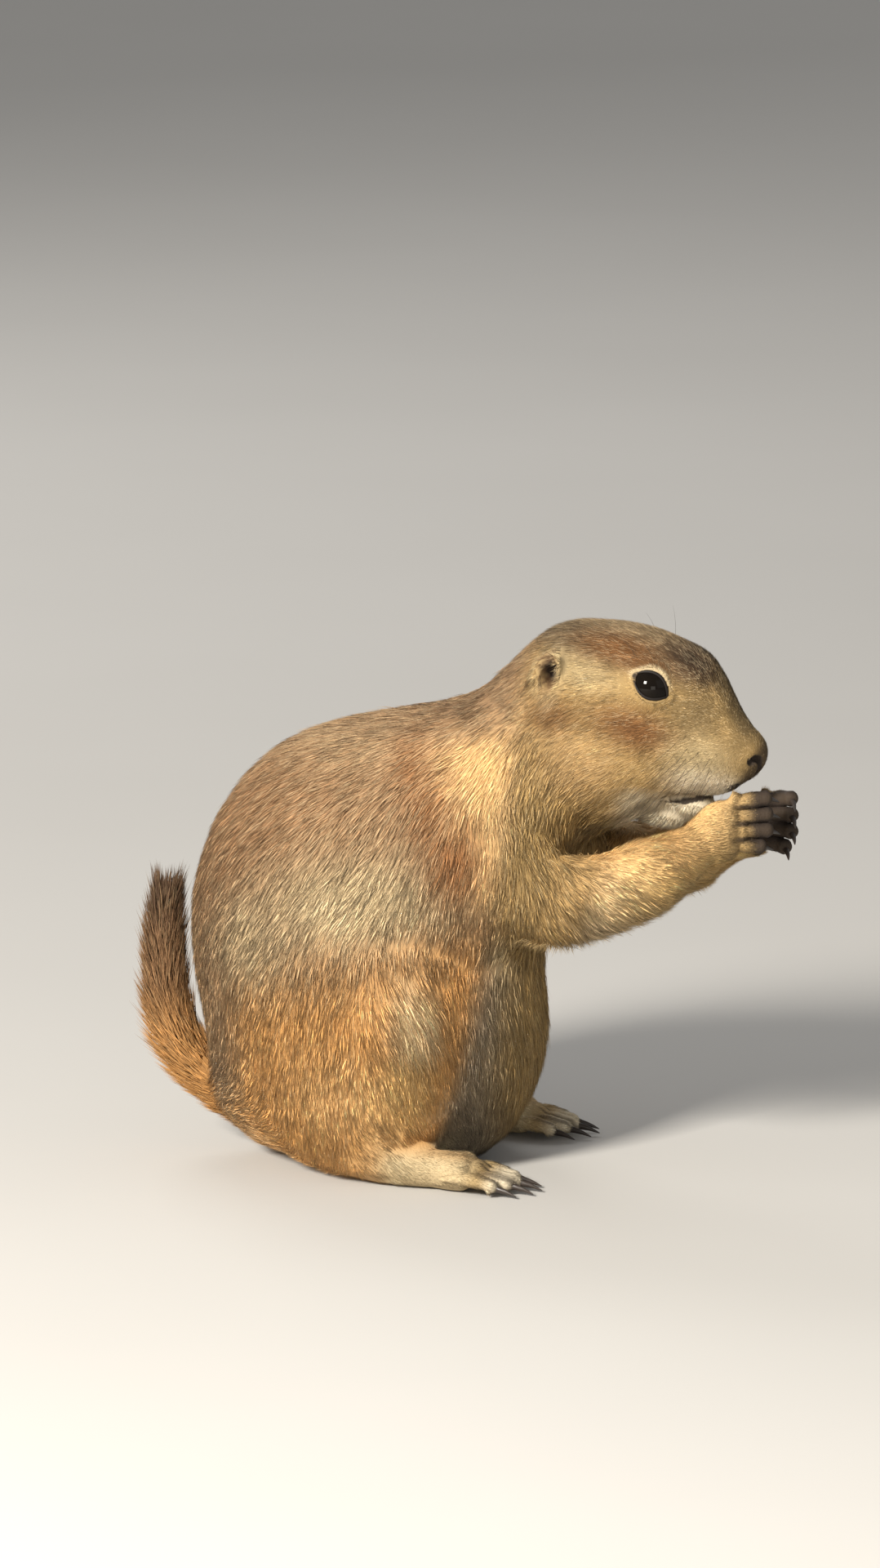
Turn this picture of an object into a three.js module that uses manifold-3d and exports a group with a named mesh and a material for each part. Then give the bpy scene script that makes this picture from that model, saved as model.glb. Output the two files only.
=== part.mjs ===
// A black-tailed prairie dog sitting on its haunches, both hands held up to its mouth.
// Life size, in millimetres: +X towards the nose, +Y to the animal's left, +Z up, floor at z = 0.
// The body is one smooth skin, made as a field of rounded masses, then parted by thin cuts.
import * as THREE from 'three';
import { mergeVertices } from 'three/addons/utils/BufferGeometryUtils.js';
import Module from 'manifold-3d';

const wasm = await Module();
wasm.setup();

// Driving dimensions
const GAP = 0.3;                 // clear space between two pieces that meet face to face
const SKIN_CELL = 1.6;           // sampling step of the skin
const SKIN_TRIANGLES = 8000;     // triangles of the whole skin before it is parted
const FLOOR_SNAP = 0.08;         // corners this near the floor lie on it
const TRIANGLES = {               // triangles of each kind of piece
  head: 1900, neck: 430, torso: 2140, thigh: 740, shank: 500, foot: 420,
  upper_arm: 410, forearm: 290, hand: 520, tail_brush: 1550,
};
const CENTRE_X = 8;           // middle of the animal's length, which becomes x = 0
const SIDES = [['right', -1], ['left', 1]];

const HEAD = { x: 50, z: 144, pitch: 18 };        // head frame: origin between the ears and eyes
const EYE = { u: 15.2, y: 14.5, w: 13.8, radius: 7.1, halfLength: 6.0, halfHeight: 4.7, tilt: -12 };
const EAR = { u: -16.0, y: 20.8, w: 7.6, wide: 4.8, deep: 4.4, tall: 7.4, lean: -18 };
const LID = { mound: 0.3, proud: 0.55, thickness: 0.95, steps: 18, sides: 6 };
const SHOULDER = { x: 20, y: 25, z: 99 };
const ELBOW = { x: 46, y: 32, z: 86.5 };
const MID_ARM = { x: 70, y: 22, z: 95.2 };
const WRIST = { x: 83.5, y: 13, z: 104 };
const LEFT_REACH = 4.4;          // the left hand is held this much further forward
const LEFT_DROP = 3.2;           // and this much lower
const KNEE = { x: -6, y: 41, z: 50 };
const ANKLE = { x: -12, y: 38.5, z: 11 };
const TOE_ROOT = { x: 18, y: 41, z: 5.6 };

const FINGER = { count: 4, spread: 5.0, rootRadius: 2.8, tipRadius: 2.2, length: 14 };
const TOE = { count: 5, spread: 4.1, rootRadius: 2.9, tipRadius: 2.2, length: 17.5 };
const FORE_CLAW = { length: 8, radius: 1.15 };
const HIND_CLAW = { length: 7, radius: 1.15 };

// Vector helpers on plain arrays
const add = (a, b, s = 1) => [a[0] + b[0] * s, a[1] + b[1] * s, a[2] + b[2] * s];
const sub = (a, b) => [a[0] - b[0], a[1] - b[1], a[2] - b[2]];
const dot = (a, b) => a[0] * b[0] + a[1] * b[1] + a[2] * b[2];
const scale = (a, s) => [a[0] * s, a[1] * s, a[2] * s];
const cross = (a, b) => [
  a[1] * b[2] - a[2] * b[1],
  a[2] * b[0] - a[0] * b[2],
  a[0] * b[1] - a[1] * b[0],
];
const unit = (a) => scale(a, 1 / (Math.hypot(a[0], a[1], a[2]) || 1));
const mix = (a, b, t) => add(a, sub(b, a), t);
const radians = THREE.MathUtils.degToRad;
const at = (place, side = 1) => [place.x, place.y * side, place.z];

// How far the left hand is moved from the right one's mirror image
const handShift = (side) => (side > 0 ? [LEFT_REACH, 0, -LEFT_DROP] : [0, 0, 0]);

// A point given in the head's own frame: u towards the nose, y to the left, w towards the crown
const headCos = Math.cos(radians(HEAD.pitch));
const headSin = Math.sin(radians(HEAD.pitch));
const inHead = (u, y, w) => [
  HEAD.x + u * headCos + w * headSin,
  y,
  HEAD.z - u * headSin + w * headCos,
];

// Rounded masses. Each is a field: negative inside, zero on its surface, positive outside.
function ellipsoid(centre, radii, pitch = 0) {
  const c = Math.cos(radians(pitch));
  const s = Math.sin(radians(pitch));
  return (x, y, z) => {
    const dx = x - centre[0];
    const dz = z - centre[2];
    const px = (dx * c - dz * s) / radii[0];
    const py = (y - centre[1]) / radii[1];
    const pz = (dx * s + dz * c) / radii[2];
    const near = Math.sqrt(px * px + py * py + pz * pz);
    const slope = Math.sqrt((px / radii[0]) ** 2 + (py / radii[1]) ** 2 + (pz / radii[2]) ** 2);
    return slope > 0 ? near * (near - 1) / slope : -Math.min(...radii);
  };
}

function taperedRod(from, to, fromRadius, toRadius) {
  const [ax, ay, az] = sub(to, from);
  const axisSquared = ax * ax + ay * ay + az * az;
  return (x, y, z) => {
    const dx = x - from[0];
    const dy = y - from[1];
    const dz = z - from[2];
    const t = Math.min(1, Math.max(0, (dx * ax + dy * ay + dz * az) / axisSquared));
    const rest = Math.sqrt((dx - ax * t) ** 2 + (dy - ay * t) ** 2 + (dz - az * t) ** 2);
    return rest - (fromRadius + (toRadius - fromRadius) * t);
  };
}

// Well outside the ball that holds it, a mass is read as that ball, which is quicker
function within(centre, reach, mass) {
  const margin = 14;
  return (x, y, z) => {
    const far = Math.sqrt((x - centre[0]) ** 2 + (y - centre[1]) ** 2 + (z - centre[2]) ** 2) - reach;
    return far > margin ? far : mass(x, y, z);
  };
}

// Masses join with a fillet of about the given size
function joined(fillet, ...masses) {
  return (x, y, z) => {
    let result = masses[0](x, y, z);
    for (let i = 1; i < masses.length; i += 1) {
      const other = masses[i](x, y, z);
      const overlap = Math.max(0, fillet - Math.abs(result - other)) / fillet;
      result = Math.min(result, other) - overlap * overlap * fillet * 0.25;
    }
    return result;
  };
}

// Masses of the body, each written once, at y > 0. All but the hands and forearms mirror about y = 0.
function trunkField() {
  const back = ellipsoid([-29, 0, 71], [49, 50, 64]);
  const withers = ellipsoid([-6, 0, 95], [44, 42, 45]);
  const belly = ellipsoid([-3, 0, 43], [37, 43, 46]);
  const rump = ellipsoid([-42, 0, 25], [28, 36, 26]);
  const shoulder = ellipsoid(at(SHOULDER), [24, 16, 27]);
  return joined(12, back, withers, belly, rump, shoulder);
}

function neckField() {
  const nape = taperedRod([6, 0, 109.5], [42, 0, 132.5], 29.3, 28);
  const throat = ellipsoid([49, 0, 121], [19, 18, 15]);
  return joined(8, nape, throat);
}

function headField() {
  const part = (u, y, w, radii, turn = -HEAD.pitch) => ellipsoid(inHead(u, y, w), radii, turn);
  const cranium = part(1.2, 0, 2.1, [31.2, 24, 23.8], 14);
  const forehead = part(13.8, 0, 8.9, [24, 18, 18.5], 17);
  const brow = part(17, 11.5, 17.4, [11, 5.5, 5.5], 5);
  const cheek = part(8, 12, -9, [22, 13, 18]);
  const muzzle = taperedRod(inHead(24, 0, 7), inHead(44.5, 0, 0.3), 16.2, 9);
  const nose = part(47.3, 0, 0.8, [5, 5, 5.2]);
  const jowl = part(23, 8, -7, [17, 10, 12.5]);
  const whiskerPad = part(34, 6, -5.5, [14, 7.5, 9.5]);
  const lip = part(42, 4.5, -6.5, [8.5, 5.5, 7]);
  const jaw = taperedRod(inHead(12, 0, -16), inHead(36.5, 0, -18.6), 13, 6.2);
  const lidRadius = EYE.radius + LID.mound;
  const lidMound = ellipsoid(inHead(EYE.u, EYE.y, EYE.w), [lidRadius, lidRadius, lidRadius]);
  const mass = joined(6, cranium, forehead, cheek, muzzle, brow, jowl, whiskerPad);
  const face = joined(4, mass, lip, nose, jaw);
  return joined(3, face, lidMound);
}

function hindLegField() {
  const thigh = ellipsoid([-20, 30, 40], [32, 23.5, 43]);
  const knee = ellipsoid([-8, 40, 51], [14, 12.5, 17]);
  const shank = taperedRod(at(KNEE), at(ANKLE), 12.5, 9);
  return joined(9, thigh, knee, shank);
}

function hindFootField() {
  const heel = [ANKLE.x - 2, ANKLE.y, 6.5];
  const sole = taperedRod(heel, at(TOE_ROOT), 7.2, 4.6);
  const instep = taperedRod([-2, 39.5, 7], [14, 42.5, 5.6], 6.5, 5);
  const ball = ellipsoid(at(TOE_ROOT), [9, 9.5, 5]);
  return joined(5, sole, instep, ball);
}

function upperArmField() {
  return taperedRod(at({ x: 22, y: 31, z: 98 }), at(ELBOW), 15, 13);
}

function foreArmField(shift) {
  const middle = add(at(MID_ARM), shift, 0.5);
  const wrist = add(at(WRIST), shift);
  const near = taperedRod(at(ELBOW), middle, 13.2, 12);
  const far = taperedRod(middle, wrist, 12, 7.6);
  const palm = ellipsoid(add([90.5, 11.8, 108.6], shift), [9.5, 4.6, 9.8], 8);
  return within([70, 22, 97], 42, joined(5, joined(4, near, far), palm));
}

function bodyField() {
  const trunk = trunkField();
  const neck = within([28, 0, 122], 50, neckField());
  const head = within(inHead(8, 0, 0), 48, headField());
  const leg = within([-20, 30, 40], 46, hindLegField());
  const foot = within([4, 40, 6], 32, hindFootField());
  const upperArm = upperArmField();
  const rightArm = foreArmField(handShift(-1));
  const leftArm = foreArmField(handShift(1));
  const core = joined(12, trunk, neck);
  const withHead = joined(8, core, head);
  const withLeg = joined(9, withHead, leg);
  const withArm = joined(6, withLeg, upperArm);
  const withFoot = joined(4, withArm, foot);
  const withRight = joined(1.5, withFoot, rightArm);
  const withLeft = joined(1.5, withFoot, leftArm);
  return (x, y, z) => (y < 0 ? withRight(x, -y, z) : withLeft(x, y, z));
}

// The zero surface of a field, as a closed mesh: one vertex in each cell that the surface crosses
function surfaceOf(field, low, high, cell) {
  const count = [0, 1, 2].map((k) => Math.ceil((high[k] - low[k]) / cell) + 2);
  const [nx, ny, nz] = count;
  const stride = [1, nx, nx * ny];
  const start = low.map((value) => value - cell * 0.5);
  const value = new Float64Array(nx * ny * nz);
  for (let k = 0, n = 0; k < nz; k += 1) {
    for (let j = 0; j < ny; j += 1) {
      for (let i = 0; i < nx; i += 1, n += 1) {
        value[n] = field(start[0] + i * cell, start[1] + j * cell, start[2] + k * cell);
      }
    }
  }
  const vertexOfCell = new Int32Array(value.length).fill(-1);
  const points = [];
  const corner = (n, c) => n + (c & 1) + ((c >> 1) & 1) * nx + ((c >> 2) & 1) * nx * ny;
  for (let k = 0; k < nz - 1; k += 1) {
    for (let j = 0; j < ny - 1; j += 1) {
      for (let i = 0; i < nx - 1; i += 1) {
        const n = i + j * nx + k * nx * ny;
        let crossings = 0;
        const sum = [0, 0, 0];
        for (let c = 0; c < 8; c += 1) {
          for (let axis = 0; axis < 3; axis += 1) {
            if (c & (1 << axis)) continue;
            const a = value[corner(n, c)];
            const b = value[corner(n, c | (1 << axis))];
            if ((a < 0) === (b < 0)) continue;
            const t = a / (a - b);
            const place = [c & 1, (c >> 1) & 1, (c >> 2) & 1];
            place[axis] = t;
            sum[0] += place[0];
            sum[1] += place[1];
            sum[2] += place[2];
            crossings += 1;
          }
        }
        if (crossings === 0) continue;
        vertexOfCell[n] = points.length;
        const base = [i, j, k];
        points.push(base.map((b, axis) => start[axis] + (b + sum[axis] / crossings) * cell));
      }
    }
  }
  const faces = [];
  for (let k = 1; k < nz - 1; k += 1) {
    for (let j = 1; j < ny - 1; j += 1) {
      for (let i = 1; i < nx - 1; i += 1) {
        const n = i + j * nx + k * nx * ny;
        for (let axis = 0; axis < 3; axis += 1) {
          const inside = value[n] < 0;
          if (inside === (value[n + stride[axis]] < 0)) continue;
          const u = stride[(axis + 1) % 3];
          const v = stride[(axis + 2) % 3];
          const quad = [n, n - u, n - u - v, n - v].map((cellIndex) => vertexOfCell[cellIndex]);
          if (!inside) quad.reverse();
          const [p, q, r, s] = quad;
          const shortAcross = distanceSquared(points[p], points[r]) < distanceSquared(points[q], points[s]);
          if (shortAcross) faces.push([p, q, r], [p, r, s]);
          else faces.push([q, r, s], [q, s, p]);
        }
      }
    }
  }
  return { points, faces };
}

function distanceSquared(a, b) {
  const d = sub(a, b);
  return dot(d, d);
}

// Each vertex is moved along the field's slope until it lies on the zero surface
function settle(mesh, field, reach) {
  const step = 0.05;
  mesh.points = mesh.points.map((start) => {
    let p = start;
    for (let round = 0; round < 3; round += 1) {
      const here = field(...p);
      const slope = [0, 1, 2].map((axis) => {
        const q = [...p];
        q[axis] += step;
        return (field(...q) - here) / step;
      });
      const steepness = dot(slope, slope) || 1;
      p = add(p, slope, -here / steepness);
    }
    const shift = sub(p, start);
    const length = Math.hypot(...shift);
    return length > reach ? add(start, shift, reach / length) : p;
  });
  return mesh;
}

// How much more an error in the surface counts: most on the face, hands and feet
function careAt(p) {
  const nose = inHead(48, 0, 0);
  const face = Math.hypot(p[0] - nose[0], p[1], p[2] - nose[2]) < 26 ? 5 : 0;
  const head = p[0] > 32 && p[2] > 112 ? 3 : 0;
  const hand = p[0] > 82 && p[2] < 122 ? 6 : 0;
  const foot = p[2] < 12 && p[0] > -20 ? 3 : 0;
  return 1 + Math.max(face, head, hand, foot);
}

// Edges collapse in order of the error they make, so that triangles stay where the form curves.
// The care function says how much more an error counts at a place.
function simplified(mesh, target, care) {
  const points = mesh.points.map((p) => [...p]);
  const faces = mesh.faces.map((f) => [...f]);
  const facesOf = points.map(() => new Set());
  const quadric = points.map(() => new Float64Array(10));
  const stamp = new Int32Array(points.length);
  const alive = new Uint8Array(points.length).fill(1);
  const faceAlive = new Uint8Array(faces.length).fill(1);
  const HOLD = 0.004;              // share of each error that keeps vertices evenly spread

  const addPlane = (q, n, d, w) => {
    const row = [n[0], n[1], n[2], d];
    let slot = 0;
    for (let i = 0; i < 4; i += 1) {
      for (let j = i; j < 4; j += 1, slot += 1) q[slot] += w * row[i] * row[j];
    }
  };
  const normalOf = (a, b, c) => cross(sub(b, a), sub(c, a));
  faces.forEach((face, index) => {
    const [a, b, c] = face.map((v) => points[v]);
    const normal = normalOf(a, b, c);
    const area = Math.hypot(...normal) / 2;
    const n = unit(normal);
    const middle = scale(add(add(a, b), c), 1 / 3);
    const weight = area * care(middle);
    for (const v of face) {
      facesOf[v].add(index);
      addPlane(quadric[v], n, -dot(n, a), weight);
      for (let axis = 0; axis < 3; axis += 1) {
        const basis = [0, 0, 0];
        basis[axis] = 1;
        addPlane(quadric[v], basis, -points[v][axis], weight * HOLD);
      }
    }
  });
  const errorAt = (q, p) => {
    const [x, y, z] = p;
    return q[0] * x * x + 2 * q[1] * x * y + 2 * q[2] * x * z + 2 * q[3] * x
      + q[4] * y * y + 2 * q[5] * y * z + 2 * q[6] * y
      + q[7] * z * z + 2 * q[8] * z + q[9];
  };
  const bestPoint = (q, a, b) => {
    const m = [q[0], q[1], q[2], q[1], q[4], q[5], q[2], q[5], q[7]];
    const determinant = (t) => t[0] * (t[4] * t[8] - t[5] * t[7])
      - t[1] * (t[3] * t[8] - t[5] * t[6]) + t[2] * (t[3] * t[7] - t[4] * t[6]);
    const whole = determinant(m);
    if (Math.abs(whole) < 1e-12) return mix(a, b, 0.5);
    const right = [-q[3], -q[6], -q[8]];
    const solve = (column) => {
      const t = [...m];
      for (let row = 0; row < 3; row += 1) t[row * 3 + column] = right[row];
      return determinant(t) / whole;
    };
    const p = [solve(0), solve(1), solve(2)];
    const room = distanceSquared(a, b) * 4;
    return distanceSquared(p, mix(a, b, 0.5)) < room ? p : mix(a, b, 0.5);
  };
  const neighbours = (v) => {
    const around = new Set();
    for (const f of facesOf[v]) for (const w of faces[f]) if (w !== v) around.add(w);
    return around;
  };

  const heap = [];
  const push = (entry) => {
    heap.push(entry);
    let i = heap.length - 1;
    while (i > 0) {
      const parent = (i - 1) >> 1;
      if (heap[parent].cost <= heap[i].cost) break;
      [heap[parent], heap[i]] = [heap[i], heap[parent]];
      i = parent;
    }
  };
  const pop = () => {
    const top = heap[0];
    const last = heap.pop();
    if (heap.length > 0) {
      heap[0] = last;
      let i = 0;
      for (;;) {
        let least = i;
        for (const child of [2 * i + 1, 2 * i + 2]) {
          if (child < heap.length && heap[child].cost < heap[least].cost) least = child;
        }
        if (least === i) break;
        [heap[least], heap[i]] = [heap[i], heap[least]];
        i = least;
      }
    }
    return top;
  };
  const propose = (a, b) => {
    const q = quadric[a].map((value, slot) => value + quadric[b][slot]);
    const place = bestPoint(q, points[a], points[b]);
    push({ cost: errorAt(q, place), a, b, place, q, stamps: stamp[a] + stamp[b] });
  };
  const turnsOver = (v, gone, place) => {
    for (const f of facesOf[v]) {
      if (faces[f].includes(gone)) continue;
      const before = faces[f].map((w) => points[w]);
      const after = faces[f].map((w) => (w === v ? place : points[w]));
      const old = unit(normalOf(...before));
      const normal = normalOf(...after);
      const area = Math.hypot(...normal);
      if (dot(old, unit(normal)) < 0.35) return true;
      const longest = Math.max(
        distanceSquared(after[0], after[1]),
        distanceSquared(after[1], after[2]),
        distanceSquared(after[2], after[0]));
      if (area < longest * 0.06) return true;
    }
    return false;
  };

  for (let v = 0; v < points.length; v += 1) {
    for (const w of neighbours(v)) if (w > v) propose(v, w);
  }
  let left = faces.length;
  while (left > target && heap.length > 0) {
    const { a, b, place, q, stamps } = pop();
    if (!alive[a] || !alive[b] || stamps !== stamp[a] + stamp[b]) continue;
    const around = neighbours(a);
    if (!around.has(b)) continue;
    const shared = [...neighbours(b)].filter((w) => around.has(w));
    if (shared.length !== 2) continue;
    if (turnsOver(a, b, place) || turnsOver(b, a, place)) continue;
    points[a] = place;
    quadric[a] = q;
    for (const f of [...facesOf[b]]) {
      if (faces[f].includes(a)) {
        faceAlive[f] = 0;
        left -= 1;
        for (const w of faces[f]) facesOf[w].delete(f);
      } else {
        faces[f] = faces[f].map((w) => (w === b ? a : w));
        facesOf[a].add(f);
      }
    }
    alive[b] = 0;
    stamp[a] += 1;
    for (const w of neighbours(a)) propose(a, w);
  }
  const renumber = new Map();
  const keptPoints = [];
  const keptFaces = [];
  faces.forEach((face, index) => {
    if (!faceAlive[index]) return;
    keptFaces.push(face.map((v) => {
      if (!renumber.has(v)) {
        renumber.set(v, keptPoints.length);
        keptPoints.push(points[v]);
      }
      return renumber.get(v);
    }));
  });
  return { points: keptPoints, faces: keptFaces };
}

// Between plain meshes, three.js geometries and solids that can be joined and cut
function solidOf(mesh) {
  const vertProperties = new Float32Array(mesh.points.flat());
  const triVerts = new Uint32Array(mesh.faces.flat());
  return new wasm.Manifold(new wasm.Mesh({ numProp: 3, vertProperties, triVerts }));
}

function solidFrom(geometry) {
  const plain = geometry.clone();
  plain.deleteAttribute('normal');
  plain.deleteAttribute('uv');
  const merged = mergeVertices(plain, 1e-4);
  const vertProperties = new Float32Array(merged.attributes.position.array);
  const triVerts = new Uint32Array(merged.index.array);
  return new wasm.Manifold(new wasm.Mesh({ numProp: 3, vertProperties, triVerts }));
}

function geometryOf(solid) {
  const mesh = solid.getMesh();
  const geometry = new THREE.BufferGeometry();
  geometry.setAttribute('position', new THREE.BufferAttribute(new Float32Array(mesh.vertProperties), 3));
  geometry.setIndex(new THREE.BufferAttribute(new Uint32Array(mesh.triVerts), 1));
  geometry.computeVertexNormals();
  return geometry;
}

// A cut leaves slivers along its edge: they are taken up again, down to the given number of triangles
function lighter(solid, target, care = careAt) {
  const mesh = solid.getMesh();
  const points = [];
  for (let n = 0; n < mesh.vertProperties.length; n += mesh.numProp) {
    points.push([...mesh.vertProperties.slice(n, n + 3)]);
  }
  const faces = [];
  for (let f = 0; f < mesh.triVerts.length; f += 3) faces.push([...mesh.triVerts.slice(f, f + 3)]);
  const light = simplified({ points, faces }, target, care);
  for (const point of light.points) if (Math.abs(point[2]) < FLOOR_SNAP) point[2] = 0;
  return solidOf(light);
}

function union(solids) {
  return solids.slice(1).reduce((whole, solid) => whole.add(solid), solids[0]);
}

function largest(solid) {
  return solid.decompose().reduce((best, piece) => (piece.volume() > best.volume() ? piece : best));
}

// A closed tube through the points, with a radius at each, flattened by the given ratio
function loft(points, radiiAt, sides, flat = 1, flatAlong = [0, 0, 1]) {
  const vertices = [];
  const faces = [];
  const last = points.length - 1;
  points.forEach((point, ring) => {
    const along = unit(sub(points[Math.min(ring + 1, last)], points[Math.max(ring - 1, 0)]));
    const broad = unit(cross(flatAlong, along));
    const thin = cross(along, broad);
    for (let side = 0; side < sides; side += 1) {
      const angle = (side / sides) * Math.PI * 2;
      const reach = radiiAt[ring];
      const across = scale(broad, Math.cos(angle) * reach);
      vertices.push(add(add(point, across), thin, Math.sin(angle) * reach * flat));
    }
  });
  for (let ring = 0; ring < last; ring += 1) {
    for (let side = 0; side < sides; side += 1) {
      const a = ring * sides + side;
      const b = ring * sides + (side + 1) % sides;
      faces.push([a, b, b + sides], [a, b + sides, a + sides]);
    }
  }
  const startPole = vertices.length;
  const startAlong = unit(sub(points[0], points[1]));
  vertices.push(add(points[0], startAlong, radiiAt[0] * 0.45));
  const endPole = vertices.length;
  const endAlong = unit(sub(points[last], points[last - 1]));
  vertices.push(add(points[last], endAlong, radiiAt[last] * 0.6));
  for (let side = 0; side < sides; side += 1) {
    const next = (side + 1) % sides;
    faces.push([startPole, next, side]);
    faces.push([endPole, last * sides + side, last * sides + next]);
  }
  return solidOf({ points: vertices, faces });
}

function curveThrough(places, count) {
  const curve = new THREE.CatmullRomCurve3(places.map((p) => new THREE.Vector3(...p)));
  return curve.getSpacedPoints(count - 1).map((v) => [v.x, v.y, v.z]);
}

function taper(count, from, to, power = 1) {
  return Array.from({ length: count }, (_, i) => from + (to - from) * (i / (count - 1)) ** power);
}

// Cutting tools
const BOWL_SIDES = 24;
const BOWL_ROWS = 16;
const BOWL_WALL = GAP * 2;       // a curved cut is wider, for the flat faces on both its sides

function slab(centre, normal, along, across = along) {
  const geometry = new THREE.BoxGeometry(along * 2, across * 2, GAP);
  const turn = new THREE.Quaternion().setFromUnitVectors(
    new THREE.Vector3(0, 0, 1), new THREE.Vector3(...unit(normal)));
  geometry.applyQuaternion(turn);
  geometry.translate(...centre);
  return solidFrom(geometry);
}

function ball(centre, radii, pitch = 0, across = 24, down = 16) {
  const geometry = new THREE.SphereGeometry(1, across, down);
  geometry.rotateX(Math.PI / 2);
  geometry.scale(...radii);
  geometry.rotateY(radians(-pitch));
  geometry.translate(...centre);
  return solidFrom(geometry);
}

// All the room on the far side of a plane
function room(centre, normal) {
  const size = 300;
  const geometry = new THREE.BoxGeometry(size, size, size).translate(0, 0, size / 2);
  geometry.applyQuaternion(new THREE.Quaternion().setFromUnitVectors(
    new THREE.Vector3(0, 0, 1), new THREE.Vector3(...unit(normal))));
  geometry.translate(...centre);
  return solidFrom(geometry);
}

// A thin closed bowl: what lies inside it is parted from what lies outside
function bowl(centre, radii, pitch = 0) {
  const inner = radii.map((radius) => radius - BOWL_WALL);
  return ball(centre, radii, pitch, BOWL_SIDES, BOWL_ROWS)
    .subtract(ball(centre, inner, pitch, BOWL_SIDES, BOWL_ROWS));
}

// Claws, fingers and toes
function claw(root, ahead, down, size, grow = 0) {
  const rings = 4;
  const points = [];
  const width = [];
  for (let i = 0; i < rings; i += 1) {
    const t = i / (rings - 1);
    const along = -2 + t * (size.length + 1.4);
    const drop = t * t * size.length * 0.3;
    points.push(add(add(root, ahead, along), down, drop));
    width.push((size.radius * (1 - t ** 1.6 * 0.86)) + grow);
  }
  return loft(points, width, 5, 1.25, down);
}

function digit(root, knuckle, tip, size) {
  const points = curveThrough([root, knuckle, tip], 6);
  const swell = [1, 1.04, 1.06, 0.98, 1.04, 0.72];
  const widths = taper(6, size.rootRadius, size.tipRadius).map((radius, i) => radius * swell[i]);
  return loft(points, widths, 8);
}

// The whole skin, cut flat at the floor
function makeSkin() {
  const field = bodyField();
  const low = [-84, -60, -8];
  const high = [110, 60, 174];
  const fine = settle(surfaceOf(field, low, high, SKIN_CELL), field, SKIN_CELL * 0.6);
  const skin = solidOf(simplified(fine, SKIN_TRIANGLES, careAt));
  return largest(skin.intersect(room([0, 0, 0], [0, 0, 1])));
}

// The point where a line from inside the head comes out through its surface
const headSurface = headField();
function surfaceAlong(from, direction, reach) {
  let inner = 0;
  let outer = reach;
  for (let round = 0; round < 24; round += 1) {
    const middle = (inner + outer) / 2;
    if (headSurface(...add(from, direction, middle)) < 0) inner = middle;
    else outer = middle;
  }
  return add(from, direction, inner);
}

// Eyes: a ball in its socket, with the skin open over it in an almond and a raised rim as lids
function eyeAxis(side) {
  const axis = unit([0.2, 0.95, 0.26]);
  const out = sub(inHead(axis[0], axis[1], axis[2]), inHead(0, 0, 0));
  return [out[0], out[1] * side, out[2]];
}

function eyeFrame(side) {
  const out = unit(eyeAxis(side));
  const ahead = sub(inHead(1, 0, Math.tan(radians(EYE.tilt))), inHead(0, 0, 0));
  const along = unit(add(ahead, out, -dot(ahead, out)));
  const up = unit(cross(out, along));
  return { centre: inHead(EYE.u, EYE.y * side, EYE.w), out, along, up };
}

// Points round the eye's almond, in the plane through the middle of the ball
function almond(side, grow) {
  const { centre, along, up } = eyeFrame(side);
  return Array.from({ length: LID.steps }, (_, i) => {
    const angle = (i / LID.steps) * Math.PI * 2;
    const pinch = 1 - 0.16 * Math.cos(angle) ** 4;
    const a = Math.cos(angle) * (EYE.halfLength + grow);
    const b = Math.sin(angle) * (EYE.halfHeight + grow) * pinch;
    return add(add(centre, along, a), up, b);
  });
}

// Turns a solid's faces round where they point inwards
function facingOut(points, faces) {
  const solid = solidOf({ points, faces });
  return solid.volume() > 0 ? solid : solidOf({ points, faces: faces.map((f) => [...f].reverse()) });
}

// The rim follows the skin all round the opening
function lidRim(side) {
  const count = LID.steps;
  const sides = LID.sides;
  const { centre, out } = eyeFrame(side);
  const path = almond(side, LID.thickness * 0.8)
    .map((point) => add(surfaceAlong(point, out, EYE.radius * 2), out, LID.proud));
  const points = [];
  const faces = [];
  path.forEach((point, i) => {
    const along = unit(sub(path[(i + 1) % count], path[(i + count - 1) % count]));
    const outward = unit(sub(point, centre));
    const across = cross(along, outward);
    for (let s = 0; s < sides; s += 1) {
      const angle = (s / sides) * Math.PI * 2;
      const a = add(point, across, Math.cos(angle) * LID.thickness);
      points.push(add(a, outward, Math.sin(angle) * LID.thickness));
    }
  });
  for (let i = 0; i < count; i += 1) {
    for (let s = 0; s < sides; s += 1) {
      const a = i * sides + s;
      const b = i * sides + (s + 1) % sides;
      const c = ((i + 1) % count) * sides + s;
      const d = ((i + 1) % count) * sides + (s + 1) % sides;
      faces.push([a, c, b], [b, c, d]);
    }
  }
  return facingOut(points, faces);
}

function eyeOpening(side) {
  const count = LID.steps;
  const { centre, out } = eyeFrame(side);
  const near = almond(side, 0).map((point) => add(point, out, EYE.radius * 0.4));
  const far = almond(side, 0).map((point) => add(point, out, EYE.radius * 3));
  const points = [...near, ...far, add(centre, out, EYE.radius * 0.4), add(centre, out, EYE.radius * 3)];
  const faces = [];
  for (let i = 0; i < count; i += 1) {
    const next = (i + 1) % count;
    faces.push([i, next, next + count], [i, next + count, i + count]);
    faces.push([2 * count, next, i], [2 * count + 1, count + i, count + next]);
  }
  return facingOut(points, faces);
}

function socketBall(side, grow) {
  const size = EYE.radius + grow;
  return ball(inHead(EYE.u, EYE.y * side, EYE.w), [size, size, size], 0, 15, 9);
}

// Ears: a short cup with a thin rim, sunk in its own socket
function earBall(side, grow) {
  const place = inHead(EAR.u, EAR.y * side, EAR.w);
  const radii = [EAR.wide + grow, EAR.deep + grow, EAR.tall + grow];
  return ball(place, radii, EAR.lean - HEAD.pitch, 14, 8);
}

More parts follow.
